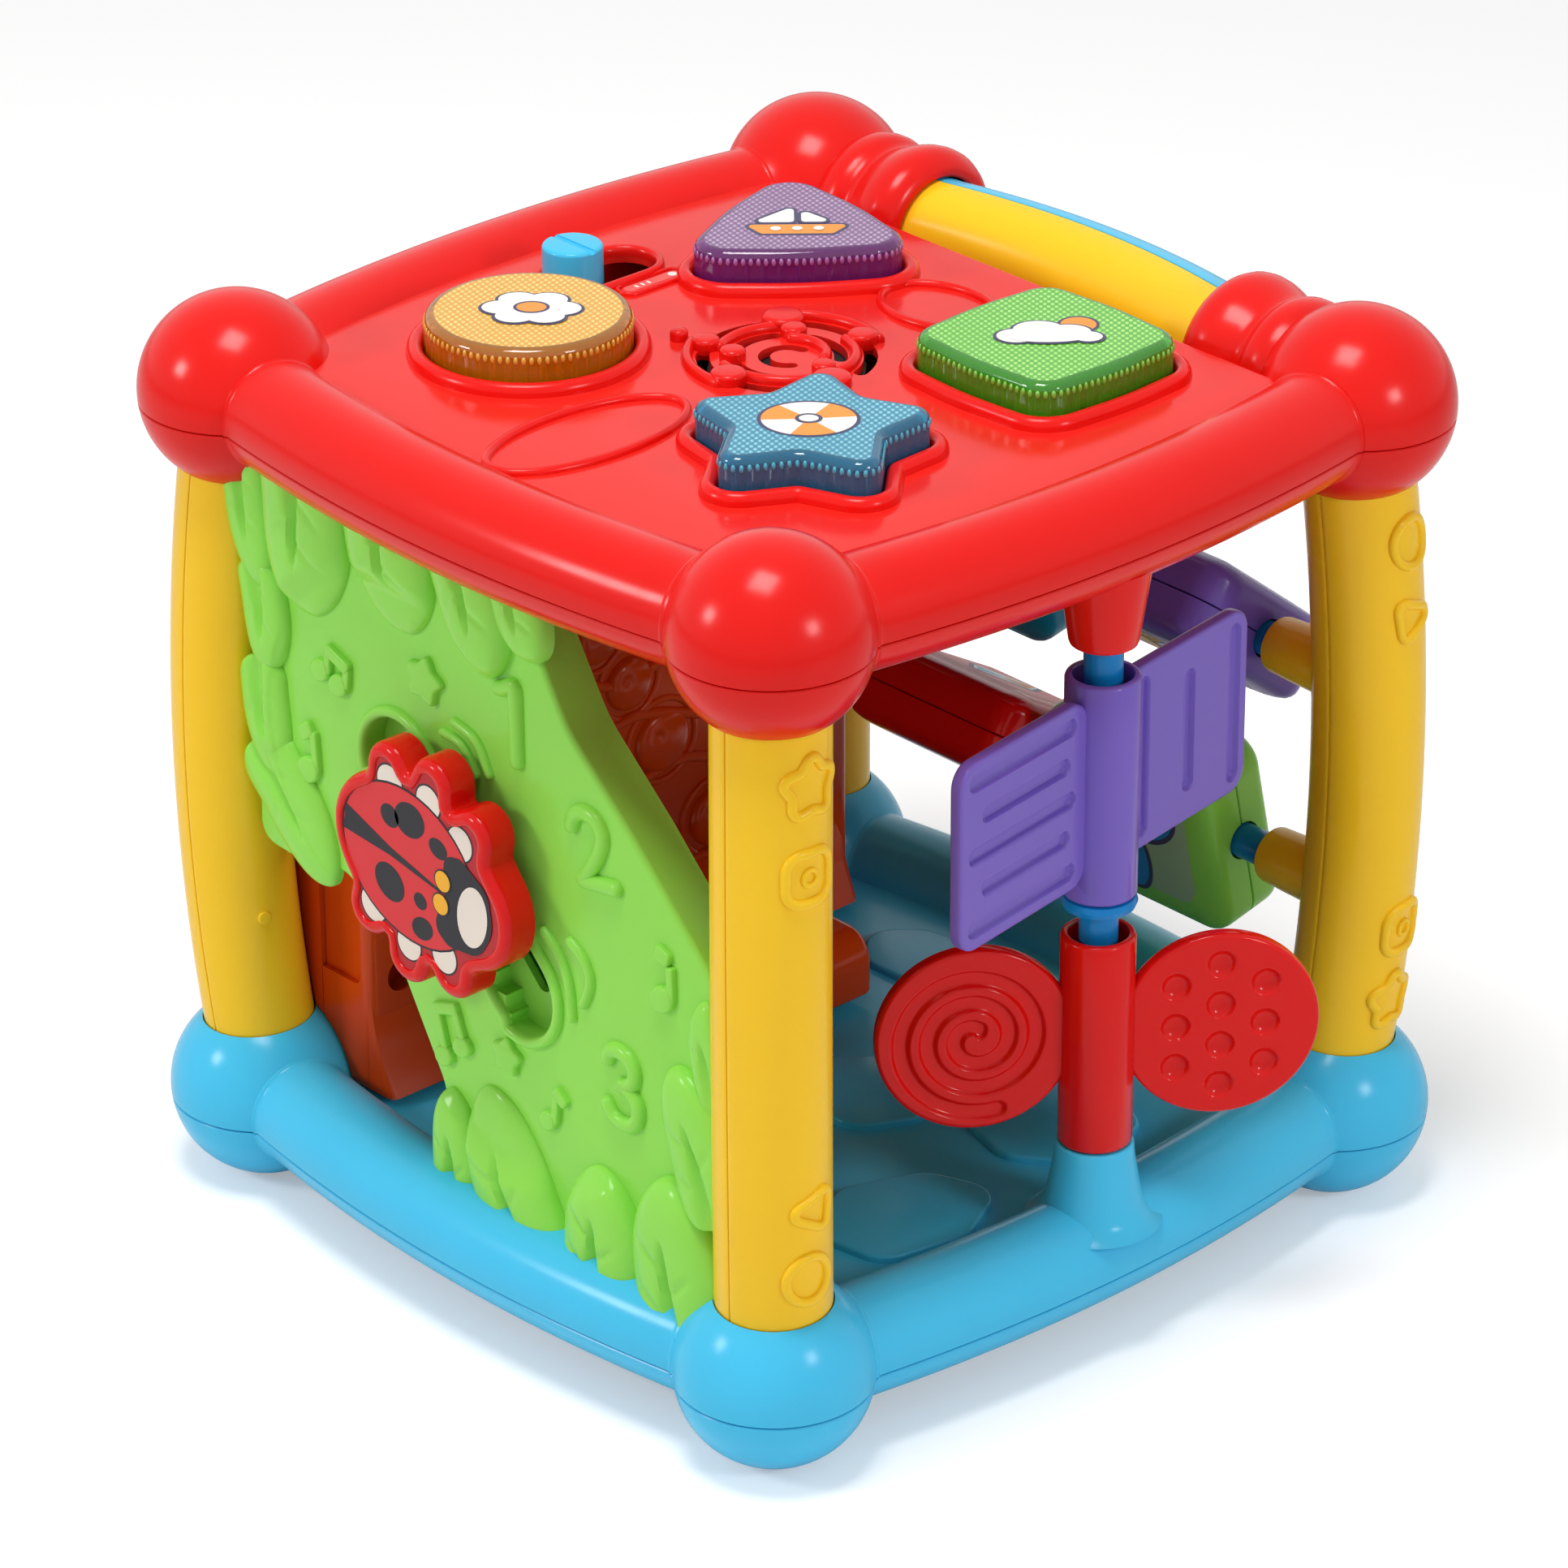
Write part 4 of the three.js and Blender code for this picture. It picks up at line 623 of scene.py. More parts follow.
# A collar holds one end of the handle: a full bulb, a neck and a smaller ring, then the ball.
collarProfile = [(55.0, 14.6), (51.9, 14.6), (51.4, 15.1), (51.3, 16.0), (51.6, 17.2), (52.6, 18.6),
                 (54.2, 19.9), (56.2, 20.8), (58.4, 21.0), (60.8, 20.7), (63.2, 20.0), (65.6, 19.0),
                 (67.6, 18.1), (69.2, 17.6), (70.4, 17.7), (71.4, 18.4), (72.6, 19.2), (74.2, 19.6),
                 (76.4, 19.6), (78.4, 19.2), (80.0, 18.4), (81.4, 17.7), (83.0, 17.5), (88.0, 17.5)]


def collarForm(side, upper):
    return shellTube([((side * x, handleAt(x), upperBall), (0, 1), radius) for x, radius in collarProfile],
                     upper)


def cornerBlock(side, z0, z1, edge):
    x0, x1 = sorted((side * top["cornerX"], side * ballHalf))
    return plateau(roundedOutline(rectangle(x0, top["wallY"] - 2.4, x1, top["cornerY"], 1.5), 4), z1 - z0,
                   edge, flat(z0), sink=0)


def topShell(upper, z0, z1, edge, *more):
    collars = [collarForm(side, upper) for side in (1, -1)]
    blocks = [cornerBlock(side, z0, z1, edge) for side in (1, -1)]
    return merged(*frameShell(upperBall, (1, 2, 3), upper, False), *collars, *blocks, *more)


makePiece("topPanel", panelField(), "polishedAbsRed", "frame", "top_upper_shell", slot="top_red", sharp=30)
makePiece("topUpper", topShell(True, top["upperFrom"], 223.1, 1.5, topBeads()),
          "mouldedAbsRed", "frame", "top_upper_shell", slot="top_red")


def topConeForm():
    profile = [(5.3, 194), (5.3, 188.0), (5.7, 187.6), (7.6, 187.6), (8.2, 188.0), (8.5, 188.8), (9.4, 195),
               (10.3, 201), (10.9, 205), (11.1, 208), (8.0, 210)]
    return spun(profile, upright(rodX, 0), 64, False, False)


def ceilingForm():
    block = prism(roundedOutline(topOutline, 2), top["ceiling"], top["lowerTo"])
    doorHole = prism(roundedOutline(rectangle(-15.4, 18.6, 15.4, 73.4, 4.4), 6), 200, 210)
    return carved(block, prism(topRoom, top["ceilingTop"], 220), doorHole)


makePiece("topLower", topShell(False, top["ceiling"], top["lowerTo"], 0.6, topConeForm(), ceilingForm()),
          "mouldedAbsRed", "frame", "top_lower_shell", slot="top_red")


styreneIor = 1.55


# Tinted polystyrene from a polished mould: clear, so that its walls look dark and their ribs catch the light.
def tinted(name, colour, clear):
    tree, shader, place = newMaterial(name, {"Transmission Weight": clear, "Roughness": 0.07,
                                             "IOR": styreneIor})
    base = linear(colour)
    colourBetween(tree, shader, noise(tree, place, 14, 2.0), scaled(base, 0.88), base)


# The same tint over its own prisms: fine pyramids in a rhombic grid, bumped in; a painted highlight on each
# peak and painted shade at their feet stand in for the light they catch.
def prisms(name, colour, shadeColour, pitch):
    tree, shader, place = newMaterial(name, {"Roughness": 0.3, "IOR": styreneIor})
    turn = addNode(tree, "ShaderNodeMapping", inputs={"Vector": place, "Rotation": (0, 0, math.radians(-45))})
    parts = addNode(tree, "ShaderNodeSeparateXYZ", inputs={0: turn.outputs[0]})
    waves = [maths(tree, "COSINE", maths(tree, "MULTIPLY", parts.outputs[axis], math.pi / (step * mm)))
             for axis, step in ((0, pitch / 2), (1, pitch * 0.84))]
    peaksAndGlintMask = ramp(tree, maths(tree, "MULTIPLY", *waves), -0.15, 0.75, 0, 1)
    share = maths(tree, "MULTIPLY", peaksAndGlintMask, ramp(tree, noise(tree, place, 11, 2.0), 0.3, 0.7, 0.72, 1.0))
    # painted highlight on the peaks, painted shade between them
    colourBetween(tree, shader, share, linear(shadeColour), linear(colour))
    bumped(tree, shader, peaksAndGlintMask, 0.5, 0.2)


# The wall carries thin upright ribs at an even pitch, inside and out.
def lensForm(look):
    outline = evenly(look["outline"], 0.36)
    length = sum(math.dist(a, b) for a, b in zip(outline, outline[1:] + outline[:1]))
    ribs = round(length / lensLook["ribPitch"])
    edge, wall, topZ, depth = lensLook["edge"], lensLook["wall"], lensLook["top"], lensLook["ribDepth"]
    swell = [math.exp(-((i * ribs / len(outline) % 1 - 0.5) / 0.1) ** 2) for i in range(len(outline))]
    out = normals(outline)

    def moved(inset, share):
        path = offset(outline, -inset)
        return [(x + nx * rib * share + look["x"], y + ny * rib * share + look["y"])
                for (x, y), (nx, ny), rib in zip(path, out, swell)]

    rings = [(topZ - wall, moved(wall + edge, 0)), (topZ - edge - 0.6, moved(wall, -depth)),
             (lensLook["bottom"], moved(wall, -depth)), (lensLook["bottom"], moved(0, 0))]
    rings += [(panelTop + 0.4, moved(0, depth * 0.5)), (topZ - edge - 1.2, moved(0, depth * 0.5))]
    rings += [(topZ - edge + edge * math.sin(a), moved(edge * (1 - math.cos(a)), 0)) for a in quarterTurn(6)]
    return loft([[(x, y, z) for x, y in path] for z, path in rings])


# The prism field lies just over the top, inside the smooth rim.
def trayForm(look):
    outline = evenly(offset(look["outline"], -lensLook["rim"]), 0.8)
    topZ = lensLook["top"] + 0.03
    return loft([[(x + look["x"], y + look["y"], z) for x, y in outline] for z in (topZ - 0.05, topZ)])


# Drops where the prisms end, in a row under the rounded edge; a lighter tint in their material gives them a
# painted glint.
def dropForms(look):
    path = evenly(offset(look["outline"], -0.2), lensLook["dropPitch"])
    parts = []
    for x, y in path:
        profile = [(lensLook["dropRadius"] * math.cos(a),
                    lensLook["dropZ"] + lensLook["dropHalf"] * math.sin(a))
                   for a in (math.pi * (k / 8 - 0.5) for k in range(1, 8))]
        parts.append(spun(profile, upright(look["x"] + x, look["y"] + y), 12))
    return merged(*parts)


lensColours = {  # slot, wall, drops (painted glint), prism top (painted highlight), prism foot (painted shade)
    "round": ("lens_amber", "#f0a010", "#f6c552", "#ffe080", "#dc9c28"),
    "triangle": ("lens_purple", "#9a36a2", "#b678bc", "#c6a8cc", "#775280"),
    "square": ("lens_green", "#58d42c", "#8ee65a", "#b6f580", "#55ac2a"),
    "star": ("lens_teal", "#159ccc", "#4cc8e4", "#8cd6e6", "#25809f")}
lensClear = {"wall": 0.68, "drop": 0.25, "prismPitch": 1.9}
for name, look in buttons.items():
    slot, wallColour, dropGlintColour, prismGlintColour, prismShadeColour = lensColours[name]
    word, body = name.title(), name + "_button"
    tinted("tintedStyrene" + word, wallColour, lensClear["wall"])
    # the drops take a lighter, less clear copy of the wall's tint: a painted glint
    tinted("dropStyrenePaintedGlint" + word, dropGlintColour, lensClear["drop"])
    # prism tops in a lighter colour and feet in a darker one: painted highlight and painted shade
    prisms("prismStyrenePaintedGlint" + word, prismGlintColour, prismShadeColour, lensClear["prismPitch"])
    makePiece(name + "Lens", lensForm(look), "tintedStyrene" + word, body, body + "_lens", slot=slot)
    makePiece(name + "Prisms", trayForm(look), "prismStyrenePaintedGlint" + word, body, slot=slot)
    makePiece(name + "Drops", dropForms(look), "dropStyrenePaintedGlint" + word, body, slot=slot, sharp=60)
print("top and buttons made")


# Legs: two mouldings each, whose seams lie towards -Y and +Y.
legNames = ["back_right", "front_right", "front_left", "back_left"]


def legHalfForm(corner, side, steps=24, sides=36):
    radius, apart = shell["legRadius"], halves["gap"]
    below = [(apart, -radius + halves["lip"]), (apart, -radius + halves["soft"]),
             (apart + 0.1, -radius + 0.08)]
    angles = [math.pi * (i / sides - 0.5) for i in range(sides + 1)]
    angles[0] += 0.03
    angles[-1] -= 0.03
    section = below + [(radius * math.cos(a), radius * math.sin(a)) for a in angles]
    section += [(a, -b) for a, b in below[::-1]]
    levels = [legBottom + (legTop - legBottom) * k / steps for k in range(steps + 1)]
    return loft([[(corner[0] * (legAt(z) + side * a), corner[1] * legAt(z) + b, z) for a, b in section]
                 for z in levels])


flip = {"rodY": 98, "upper": 143, "lower": 84, "long": 60, "halfHeight": 26.5, "rounding": 9, "bore": 5.2,
        "rodRadius": 4.6}


def alongX(z):  # about a flip rod
    return lambda u, v, h: (h, flip["rodY"] + u, z + v)


# Short pegs on the two far legs take the ends of the flip rods.
def pegForms(corner):
    parts = []
    for z in (flip["upper"], flip["lower"]):
        root = legAt(z)
        profile = [(5.3, 78), (5.3, 72.4), (5.7, 72.0), (6.7, 72.0), (7.2, 72.3), (7.4, 73.0), (7.7, 80),
                   (8.2, root - 2)]
        parts.append(spun([(r, corner[0] * x) for r, x in profile], alongX(z), 48, False, False))
    return parts


for corner, name in zip(corners, legNames):
    pegs = pegForms(corner) if corner[1] > 0 else []
    for side, word, more in ((1, "outer", []), (-1, "inner", pegs)):
        makePiece("leg_%s_%sHalf" % (name, word), merged(legHalfForm(corner, side), *more),
                  "mouldedPpYellow", "frame", "leg_%s_%s" % (name, word), slot="leg_yellow")


def gripForm(side, steps=28, sides=36):
    r, end, root, apart = handle["radius"], handle["gripEnd"], handle["root"], halves["gap"]
    stations = [(-end - 5, root), (-end, root), (-end, r - 0.4)]
    stations += [(end * (2 * k / steps - 1), r) for k in range(steps + 1)] + [(end, root), (end + 5, root)]
    angles = [math.pi * (i / sides - 0.5) for i in range(sides + 1)]
    rings = []
    for x, radius in stations:
        below = [(apart, -radius + halves["lip"]), (apart, -radius + halves["soft"])]
        section = below + [(max(radius * math.cos(a), 0.22), radius * math.sin(a)) for a in angles]
        section += [(a, -b) for a, b in below[::-1]]
        rings.append([(x, handleAt(x) + side * a, upperBall + b) for a, b in section])
    return loft(rings)


makePiece("gripInner", gripForm(-1), "mouldedPpYellow", "frame", "handle_inner_half", slot="grip_yellow")
makePiece("gripOuter", gripForm(1), "mouldedAbsBlue", "frame", "handle_outer_half", slot="grip_blue")
print("legs and handle made")


# The green side panel: leaves round it, numbers and notes on it, and the slanting track of the ladybird.
panel = {"face": -105, "depth": 11.45, "edge": 1.6, "sign": 1.7, "rimWidth": 3.0, "rimHeight": 1.9}
railTopZ = lowerBall + railRadius
greenCorners = [
    (-14, railTopZ - 6, 2), (86, railTopZ - 6, 2), (86, 126, 12), (57, 154, 40), (35, 173, 30),
    (22, 194, 12), (17, upperBall - 7, 2), (-84, upperBall - 7, 2), (-82, 153, 60),
    (-84, 101, 6), (-66, 100, 6), (-50, 104, 7), (-34, 92, 20), (-14, 58, 14)]
track = {"middle": (-4.5, 120.9), "slope": -45, "travel": 62, "rest": -17.3, "pitchRadius": 9, "lobes": 9,
         "lobeRadius": 1.8, "notch": 2.4, "depth": 5.5, "floor": 2, "slot": 2.6, "pocket": 7.7}
trackTurn = math.radians(track["slope"])


def onTrack(s, n):
    return (track["middle"][0] + s * math.cos(trackTurn) - n * math.sin(trackTurn),
            track["middle"][1] + s * math.sin(trackTurn) + n * math.cos(trackTurn))


pin = onTrack(track["rest"], 0)
rackPitch = 2 * math.pi * track["pitchRadius"] / track["lobes"]


def slabY(outline, y0, y1):
    return loft([[(x, y, z) for x, z in outline] for y in (y0, y1)])


# The track's recess has full round ends; they reach a little past the toothed side.
endRound = {"drop": 1.4, "radius": 12.5, "rackRim": -12.7}


def trackOutline(extra):
    half, radius = track["travel"] / 2, endRound["radius"] + extra
    low = endRound["rackRim"] if extra else -track["pitchRadius"]
    right = [(half + x, y - endRound["drop"]) for x, y in arc(0, 0, radius, -68, 90, 26)]
    path = [(half + 2.6, low)] + right + [(-x, y) for x, y in right[::-1]] + [(-half - 2.6, low)]
    return [onTrack(s, n) for s, n in evenly(path, 0.7)]


def greenBody():
    face, edge = panel["face"], panel["edge"]
    outline = evenly(roundedOutline(greenCorners, 16), 1.5)
    rings = [[(x, face + panel["depth"], z) for x, z in outline]]
    for a in quarterTurn(5):
        rings.append([(x, face + edge - edge * math.sin(a), z)
                      for x, z in offset(outline, -edge * (1 - math.cos(a)))])
    body = loft(rings)
    front, floorY = face - 6, face + track["depth"]
    # a notch for every place where a lobe of the hub comes down
    reach, low, deep = track["travel"] / 2 + 2, -track["pitchRadius"], -track["pitchRadius"] - track["notch"]
    first = math.ceil((-reach - track["rest"]) / rackPitch)
    last = math.floor((reach - track["rest"]) / rackPitch)
    notches = []
    for k in range(first, last + 1):
        along = track["rest"] + k * rackPitch
        vee = [(-3, low, 0.1), (-0.5, deep, 0.6), (0.5, deep, 0.6), (3, low, 0.1), (3, low + 2, 0.1),
               (-3, low + 2, 0.1)]
        shape = roundedOutline([(along + s, n, rounding) for s, n, rounding in vee], 4)
        notches.append(slabY([onTrack(*p) for p in shape], front, floorY - 0.02))
    end = track["travel"] / 2 + 1
    slot, pocket = ([onTrack(*p) for p in arc(end, 0, r, -90, 90, steps) + arc(-end, 0, r, 90, 270, steps)]
                    for r, steps in ((track["slot"], 10), (track["pocket"], 14)))
    return carved(body, slabY(trackOutline(0), front, floorY), merged(*notches),
                  slabY(slot, floorY - 1, floorY + 3), slabY(pocket, floorY + track["floor"], face + 20))


sweep = {"low": 3.4, "reach": 47}


# How high a leaf may stand: the ladybird sweeps close over the panel round its track.
def leafRoom(x, z):
    (midX, midZ), half = track["middle"], track["travel"] / 2
    along = (x - midX) * math.cos(trackTurn) + (z - midZ) * math.sin(trackTurn)
    away = math.dist((x, z), onTrack(max(-half, min(half, along)), 0))
    return sweep["low"] + max(0, away - sweep["reach"]) * 0.5


# A plump leaf: a steep dome with a full round tip. Its middle vein is a wedge-shaped furrow, wide at the
# stalk, and its side veins are only faint.
def leafForm(base, tip, width, place, height, turn=1.0):
    (x0, z0), (x1, z1) = base, tip
    long = math.dist(base, tip)
    ax, az = (x1 - x0) / long, (z1 - z0) / long
    sx, sz = -az, ax
    rows, cols = 64, 48
    grid = []
    for j in range(cols + 1):
        v = -math.cos(math.pi * j / cols)
        line = []
        for i in range(rows + 1):
            u = 0.5 - 0.5 * math.cos(math.pi * i / rows)
            past = max(0, (u - 0.4) / 0.6)
            near = max(0, 1 - u / 0.2)
            half = width / 2 * max(1 - past ** 2.2, 0) ** 0.56 * max(1 - near ** 2.4, 0.0004) ** 0.5
            bend = turn * 1.2 * math.sin(math.pi * u)
            body = max(1 - abs(v) ** 3.2, 0) ** 0.5 * max(1 - past ** 5, 0) ** 0.5
            across = v * half
            mouth = max(0, 1 - u / 0.7)
            furrow = 0.5 * math.exp(-(across / (0.5 + 2.2 * mouth)) ** 2) * min(1, mouth * 3.5)
            for at, side in ((0.22, 1), (0.36, -1), (0.5, 1)):
                away = (u - at) * long - abs(across) * 0.8
                reach = max(0, 1 - abs(v) * 1.4) if v * side > 0 else 0
                furrow = max(furrow, 0.11 * math.exp(-(away / 1.0) ** 2) * min(1, reach * 2.5))
            x = x0 + ax * u * long + sx * (across + bend)
            z = z0 + az * u * long + sz * (across + bend)
            h = min(height, leafRoom(x, z)) * body * (1 - furrow)
            line.append(place(x, z, h if 0 < j < cols and 0 < i < rows else -1.2))
        grid.append(line)
    return loft(grid, False, False, False)


leaves = [  # base x and z, tip x and z, width, height over the panel
    ((-84, 212), (-77, 172), 17, 3.8), ((-60, 216), (-60, 171), 31, 6.4), ((-30, 216), (-22, 179), 31, 5.8),
    ((-4, 214), (9, 178), 25, 5.6), ((16, 212), (26, 188), 19, 4.4), ((-79, 180), (-76, 150), 17, 3.8),
    ((-79, 154), (-74, 122), 17, 3.8), ((-82, 130), (-54, 99), 23, 3.8),
    ((-8, 24), (-10, 60), 18, 5.0), ((24, 22), (3, 66), 30, 6.6), ((46, 24), (46, 61), 28, 6.6),
    ((78, 22), (71, 69), 31, 6.6), ((88, 62), (73, 100), 23, 5.0), ((89, 92), (83, 121), 13, 3.4)]


# A smooth path through a few points.
def smooth(path, steps=6):
    ends = [path[0], *path, path[-1]]
    result = []
    for a, b, c, d in zip(ends, ends[1:], ends[2:], ends[3:]):
        for k in range(steps):
            t = k / steps
            result.append(tuple(0.5 * (2 * q + (r - p) * t + (2 * p - 5 * q + 4 * r - w) * t * t
                                       + (3 * q - p - 3 * r + w) * t ** 3)
                                for p, q, r, w in zip(a, b, c, d)))
    return result + [path[-1]]


def strokes(name):
    if name == "1":
        return smooth([(-4.4, 7.6), (-2.4, 8.4), (0, 9.8), (1.0, 9.6), (1.1, 8), (1.2, 0), (1.3, -9.6)])
    if name == "2":
        return smooth([(-6.9, 4.6), (-5.6, 7.8), (-2.3, 9.5), (1.6, 9.0), (3.8, 6.7), (3.9, 3.6), (2.2, -0.6),
                       (-0.8, -5.4), (-3.4, -8.6)]) + [(8.6, -6.6)]
    return smooth([(-5.2, 6.4), (-4.0, 8.8), (-1.5, 9.7), (1.5, 9.4), (3.7, 7.7), (4.4, 5.3), (3.5, 2.8),
                   (1.3, 1.2), (-0.9, 0.8), (2.4, 0.4), (4.9, -1.6), (5.6, -4.2), (4.7, -7.2), (2.4, -9.0),
                   (-0.7, -9.4), (-3.6, -8.4), (-5.4, -6.2)])


def starOutline(radius, turn, inner=0.56, rounding=1.0):
    return evenly(roundedOutline(pointed(radius, radius * inner, rounding, rounding, turn, 5), 5), 0.5)


# A plain note: flat plates for an egg-shaped head, its stem and a flag or a bar.
notes = [  # heads with the tops of their stems, and the flag or bar: x, z of its two ends and its width
    ([(-55.8, 157.8, -52.6, 164.2), (-48.9, 156.0, -45.6, 161.6)], (-53.4, 164.6, -44.8, 161.4, 3.4), 3.3),
    ([(-61.9, 128.5, -59.6, 139.6)], (-60.2, 140.6, -64.4, 137.4, 4.2), 3.9),
    ([(68.5, 115.9, 71.4, 125.4)], (71.2, 126.6, 66.4, 128.4, 3.8), 3.8),
    ([(-12.5, 68.2, -14.6, 79.6), (-5.6, 73.3, -8.0, 82.4)], (-16.0, 80.2, -7.0, 83.2, 3.2), 3.1),
    ([(26.2, 65.8, 29.6, 74.8)], (29.0, 75.6, 33.0, 72.4, 3.0), 2.9)]


def plate(x0, z0, x1, z1, width, place, lower=0.0):
    nx, nz = (z0 - z1), (x1 - x0)
    reach = math.hypot(nx, nz)
    nx, nz = nx / reach * width / 2, nz / reach * width / 2
    corner = [(x0 + nx, z0 + nz), (x0 - nx, z0 - nz), (x1 - nx, z1 - nz), (x1 + nx, z1 + nz)]
    return plateau(evenly(roundedOutline([(x, z, width * 0.24) for x, z in corner], 4), 0.5),
                   panel["sign"] - lower, 0.6, place)


def noteForms(heads, bar, size, place):
    parts = [plate(*bar, place)]
    for x, z, topX, topZ in heads:
        parts.append(plateau(roundOutline(x, z, size * 1.1, size * 0.9, 40, 0.5), panel["sign"] + 0.12, 0.8,
                             place))
        side = size * 0.8 if topX > x else size * 0.3
        parts.append(plate(x + side, z, topX, topZ, 2.4, place, 0.12))
    return parts


def panelRelief():
    place, sign = facing(panel["face"]), panel["sign"]
    parts = [leafForm(base, tip, width, place, height, 1 if k % 2 else -1)
             for k, (base, tip, width, height) in enumerate(leaves)]
    for text, x, z in (("1", 16, 169), ("2", 43.5, 145.2), ("3", 53.5, 85.6)):
        parts.append(bead([(u + x, v + z) for u, v in evenly(strokes(text), 0.7, False)], 4.2, 2.2, place,
                          arch=12))
    for x, z, size, turn in ((-16, 169, 7.4, 80), (11.3, 77.6, 6.2, 85)):
        parts.append(plateau(movedTo(starOutline(size, turn, 0.62, 1.2), x, z), sign + 0.1, 0.9, place))
    for heads, bar, size in notes:
        parts += noteForms(heads, bar, size, place)
    # curved lines beside both ends of the track hint at the motion
    for path in ([(25.6, 117), (31, 113), (34.4, 106.6), (35.4, 97.6)],
                 [(35.4, 118.2), (40.4, 114.8), (42.2, 109.4), (39.6, 103.0)],
                 [(-9.7, 157.2), (-3.0, 156.2), (1.6, 150.4)], [(-5.4, 161.4), (2.4, 159.2), (6.6, 152.2)]):
        parts.append(bead(evenly(smooth(path, 10), 0.7, False), 2.7, 1.7, place, arch=12))
    parts.append(bead(trackOutline(1.4), panel["rimWidth"], panel["rimHeight"], place, closed=True, arch=12))
    return merged(*parts)


makePiece("greenPanel", merged(greenBody(), panelRelief()), "mouldedAbsGreen", "frame", "green_panel_front",
          slot="panel_green", sharp=32)
print("green panel made")


# The ladybird: a thick scalloped plate on a toothed hub, with its print set a little into it.
bug = {"face": -118.6, "back": -109, "centre": (10.8, -7.8), "turn": -12, "long": 32, "across": 22.8,
       "edge": 2.4, "printIn": 3.2, "printDeep": 0.7, "socket": 3.5, "socketDeep": 3.3, "bore": 2.3,
       "hub": 8.2, "hubEnd": -99.8}
bugMiddle = [a + b for a, b in zip(pin, bug["centre"])]
# the scallops: along, across, radius
bugRounds = [(19, 0, 15)] + [(a, side * b, r) for a, b, r in ((-15.4, 20.3, 7.5), (0, 25, 7.5),
                                                              (15.6, 19.5, 7.5)) for side in (1, -1)]


def bugOutline(inset, count=300):
    turn, points = math.radians(bug["turn"]), []
    for k in range(count):
        t = 2 * math.pi * k / count
        c, s = math.cos(t), math.sin(t)
        reach = 1 / math.hypot(c / bug["long"], s / bug["across"])
        for along, across, radius in bugRounds:
            miss = along * s - across * c
            if abs(miss) < radius:
                reach = max(reach, along * c + across * s + math.sqrt(radius ** 2 - miss ** 2))
        points.append((reach, t + turn))
    # the notches between the scallops are rounded a little
    reaches = [p[0] for p in points]
    for _ in range(7):
        reaches = [(reaches[i - 1] + 2 * reaches[i] + reaches[(i + 1) % count]) / 4 for i in range(count)]
    x, z = bugMiddle
    return offset([(x + r * math.cos(t), z + r * math.sin(t)) for r, (_, t) in zip(reaches, points)], -inset)


def bugPoint(along, across):
    (x, z), (c, s) = bugMiddle, cosSin(bug["turn"])
    return x + along * c - across * s, z + along * s + across * c


def bugForm():
    edge, face, back, ledge = bug["edge"], bug["face"], bug["back"], bug["printIn"]
    levels = [(back, 0.8), (back - 0.8, 0)]
    levels += [(face + edge - edge * math.sin(a), edge * (1 - math.cos(a))) for a in quarterTurn(6)]
    levels += [(face, ledge), (face + 0.15, ledge + 0.2), (face + bug["printDeep"], ledge + 0.35)]
    plate = loft([[(x, y, z) for x, z in bugOutline(inset)] for y, inset in levels])
    socket = slabY(roundOutline(*pin, bug["socket"], count=48), face - 4, face + bug["socketDeep"])
    bore = slabY(roundOutline(*pin, bug["bore"], count=48), face - 4, -98)
    hubSpan, pitch, lobes = (back - 0.2, bug["hubEnd"]), track["pitchRadius"], track["lobes"]
    turns = [trackTurn - math.pi / 2 + 2 * math.pi * k / lobes for k in range(lobes)]
    teeth = [slabY(roundOutline(pin[0] + pitch * math.cos(a), pin[1] + pitch * math.sin(a),
                                track["lobeRadius"], count=24), *hubSpan) for a in turns]
    hub = slabY(roundOutline(*pin, bug["hub"], count=64), *hubSpan)
    return merged(carved(plate, socket, bore), carved(hub, bore), *teeth)


def printed(level, *outlines):
    face = bug["face"] + bug["printDeep"] - 0.05 * level
    return [slabY(outline, face, face - 0.04) for outline in outlines]


def bugShape(shape, grow=0.0):
    along, across, a, b, turn = shape
    return [bugPoint(u, v) for u, v in roundOutline(along, across, a + grow, b + grow, 40,
                                                    math.radians(turn))]


printInk = {"bugInkRed": "#d93338", "bugInkBlack": "#2a2a30", "bugInkCream": "#e9ddd0",
            "bugInkDeep": "#b8242b", "bugInkYellow": "#f2b02c"}
for name, colour in printInk.items():
    # pad print under a thin varnish: flat colour, a little duller than the plastic round it
    moulded(name, colour, 0.42, flow=0.06, peelMm=0.6, peelDepth=0.006, glow=0)

makePiece("ladybird", bugForm(), "mouldedAbsDeepRed", "ladybird", "ladybird_knob", slot="ladybird_red")
feet = [(-13.6, 18.2, 4.6, 4.6, 20), (0.4, 21.2, 4.3, 4.2, 0), (13.0, 16.8, 4.4, 4.4, -30)]
bothSides = [(a, side * b, r, q, side * t) for a, b, r, q, t in feet for side in (1, -1)]
spots = [(-12, 9.5, 3.4, 3.0, 0), (-5, 12.5, 5.6, 4.6, 20), (6, 11, 3.4, 2.6, 0), (-9, -8.5, 5.6, 4.8, -10),
         (2.4, -7, 2.4, 2.2, 0), (4.4, -14.0, 4.0, 3.0, 30)]
halfWedge = [(-27.6, 3.6), (-10, 1.1), (9, 0.35)]
wedge = [bugPoint(u, -v) for u, v in halfWedge] + [bugPoint(*p) for p in halfWedge[::-1]]
headCorners = [(8, -10.5, 4), (14, -13.0, 4), (25, -9.5, 7), (28.5, 0, 9), (25, 9.5, 7), (14, 13.0, 4),
               (8, 10.5, 4), (10.5, 0, 8)]
headShape = [bugPoint(*p) for p in evenly(roundedOutline(headCorners, 6), 0.7)]
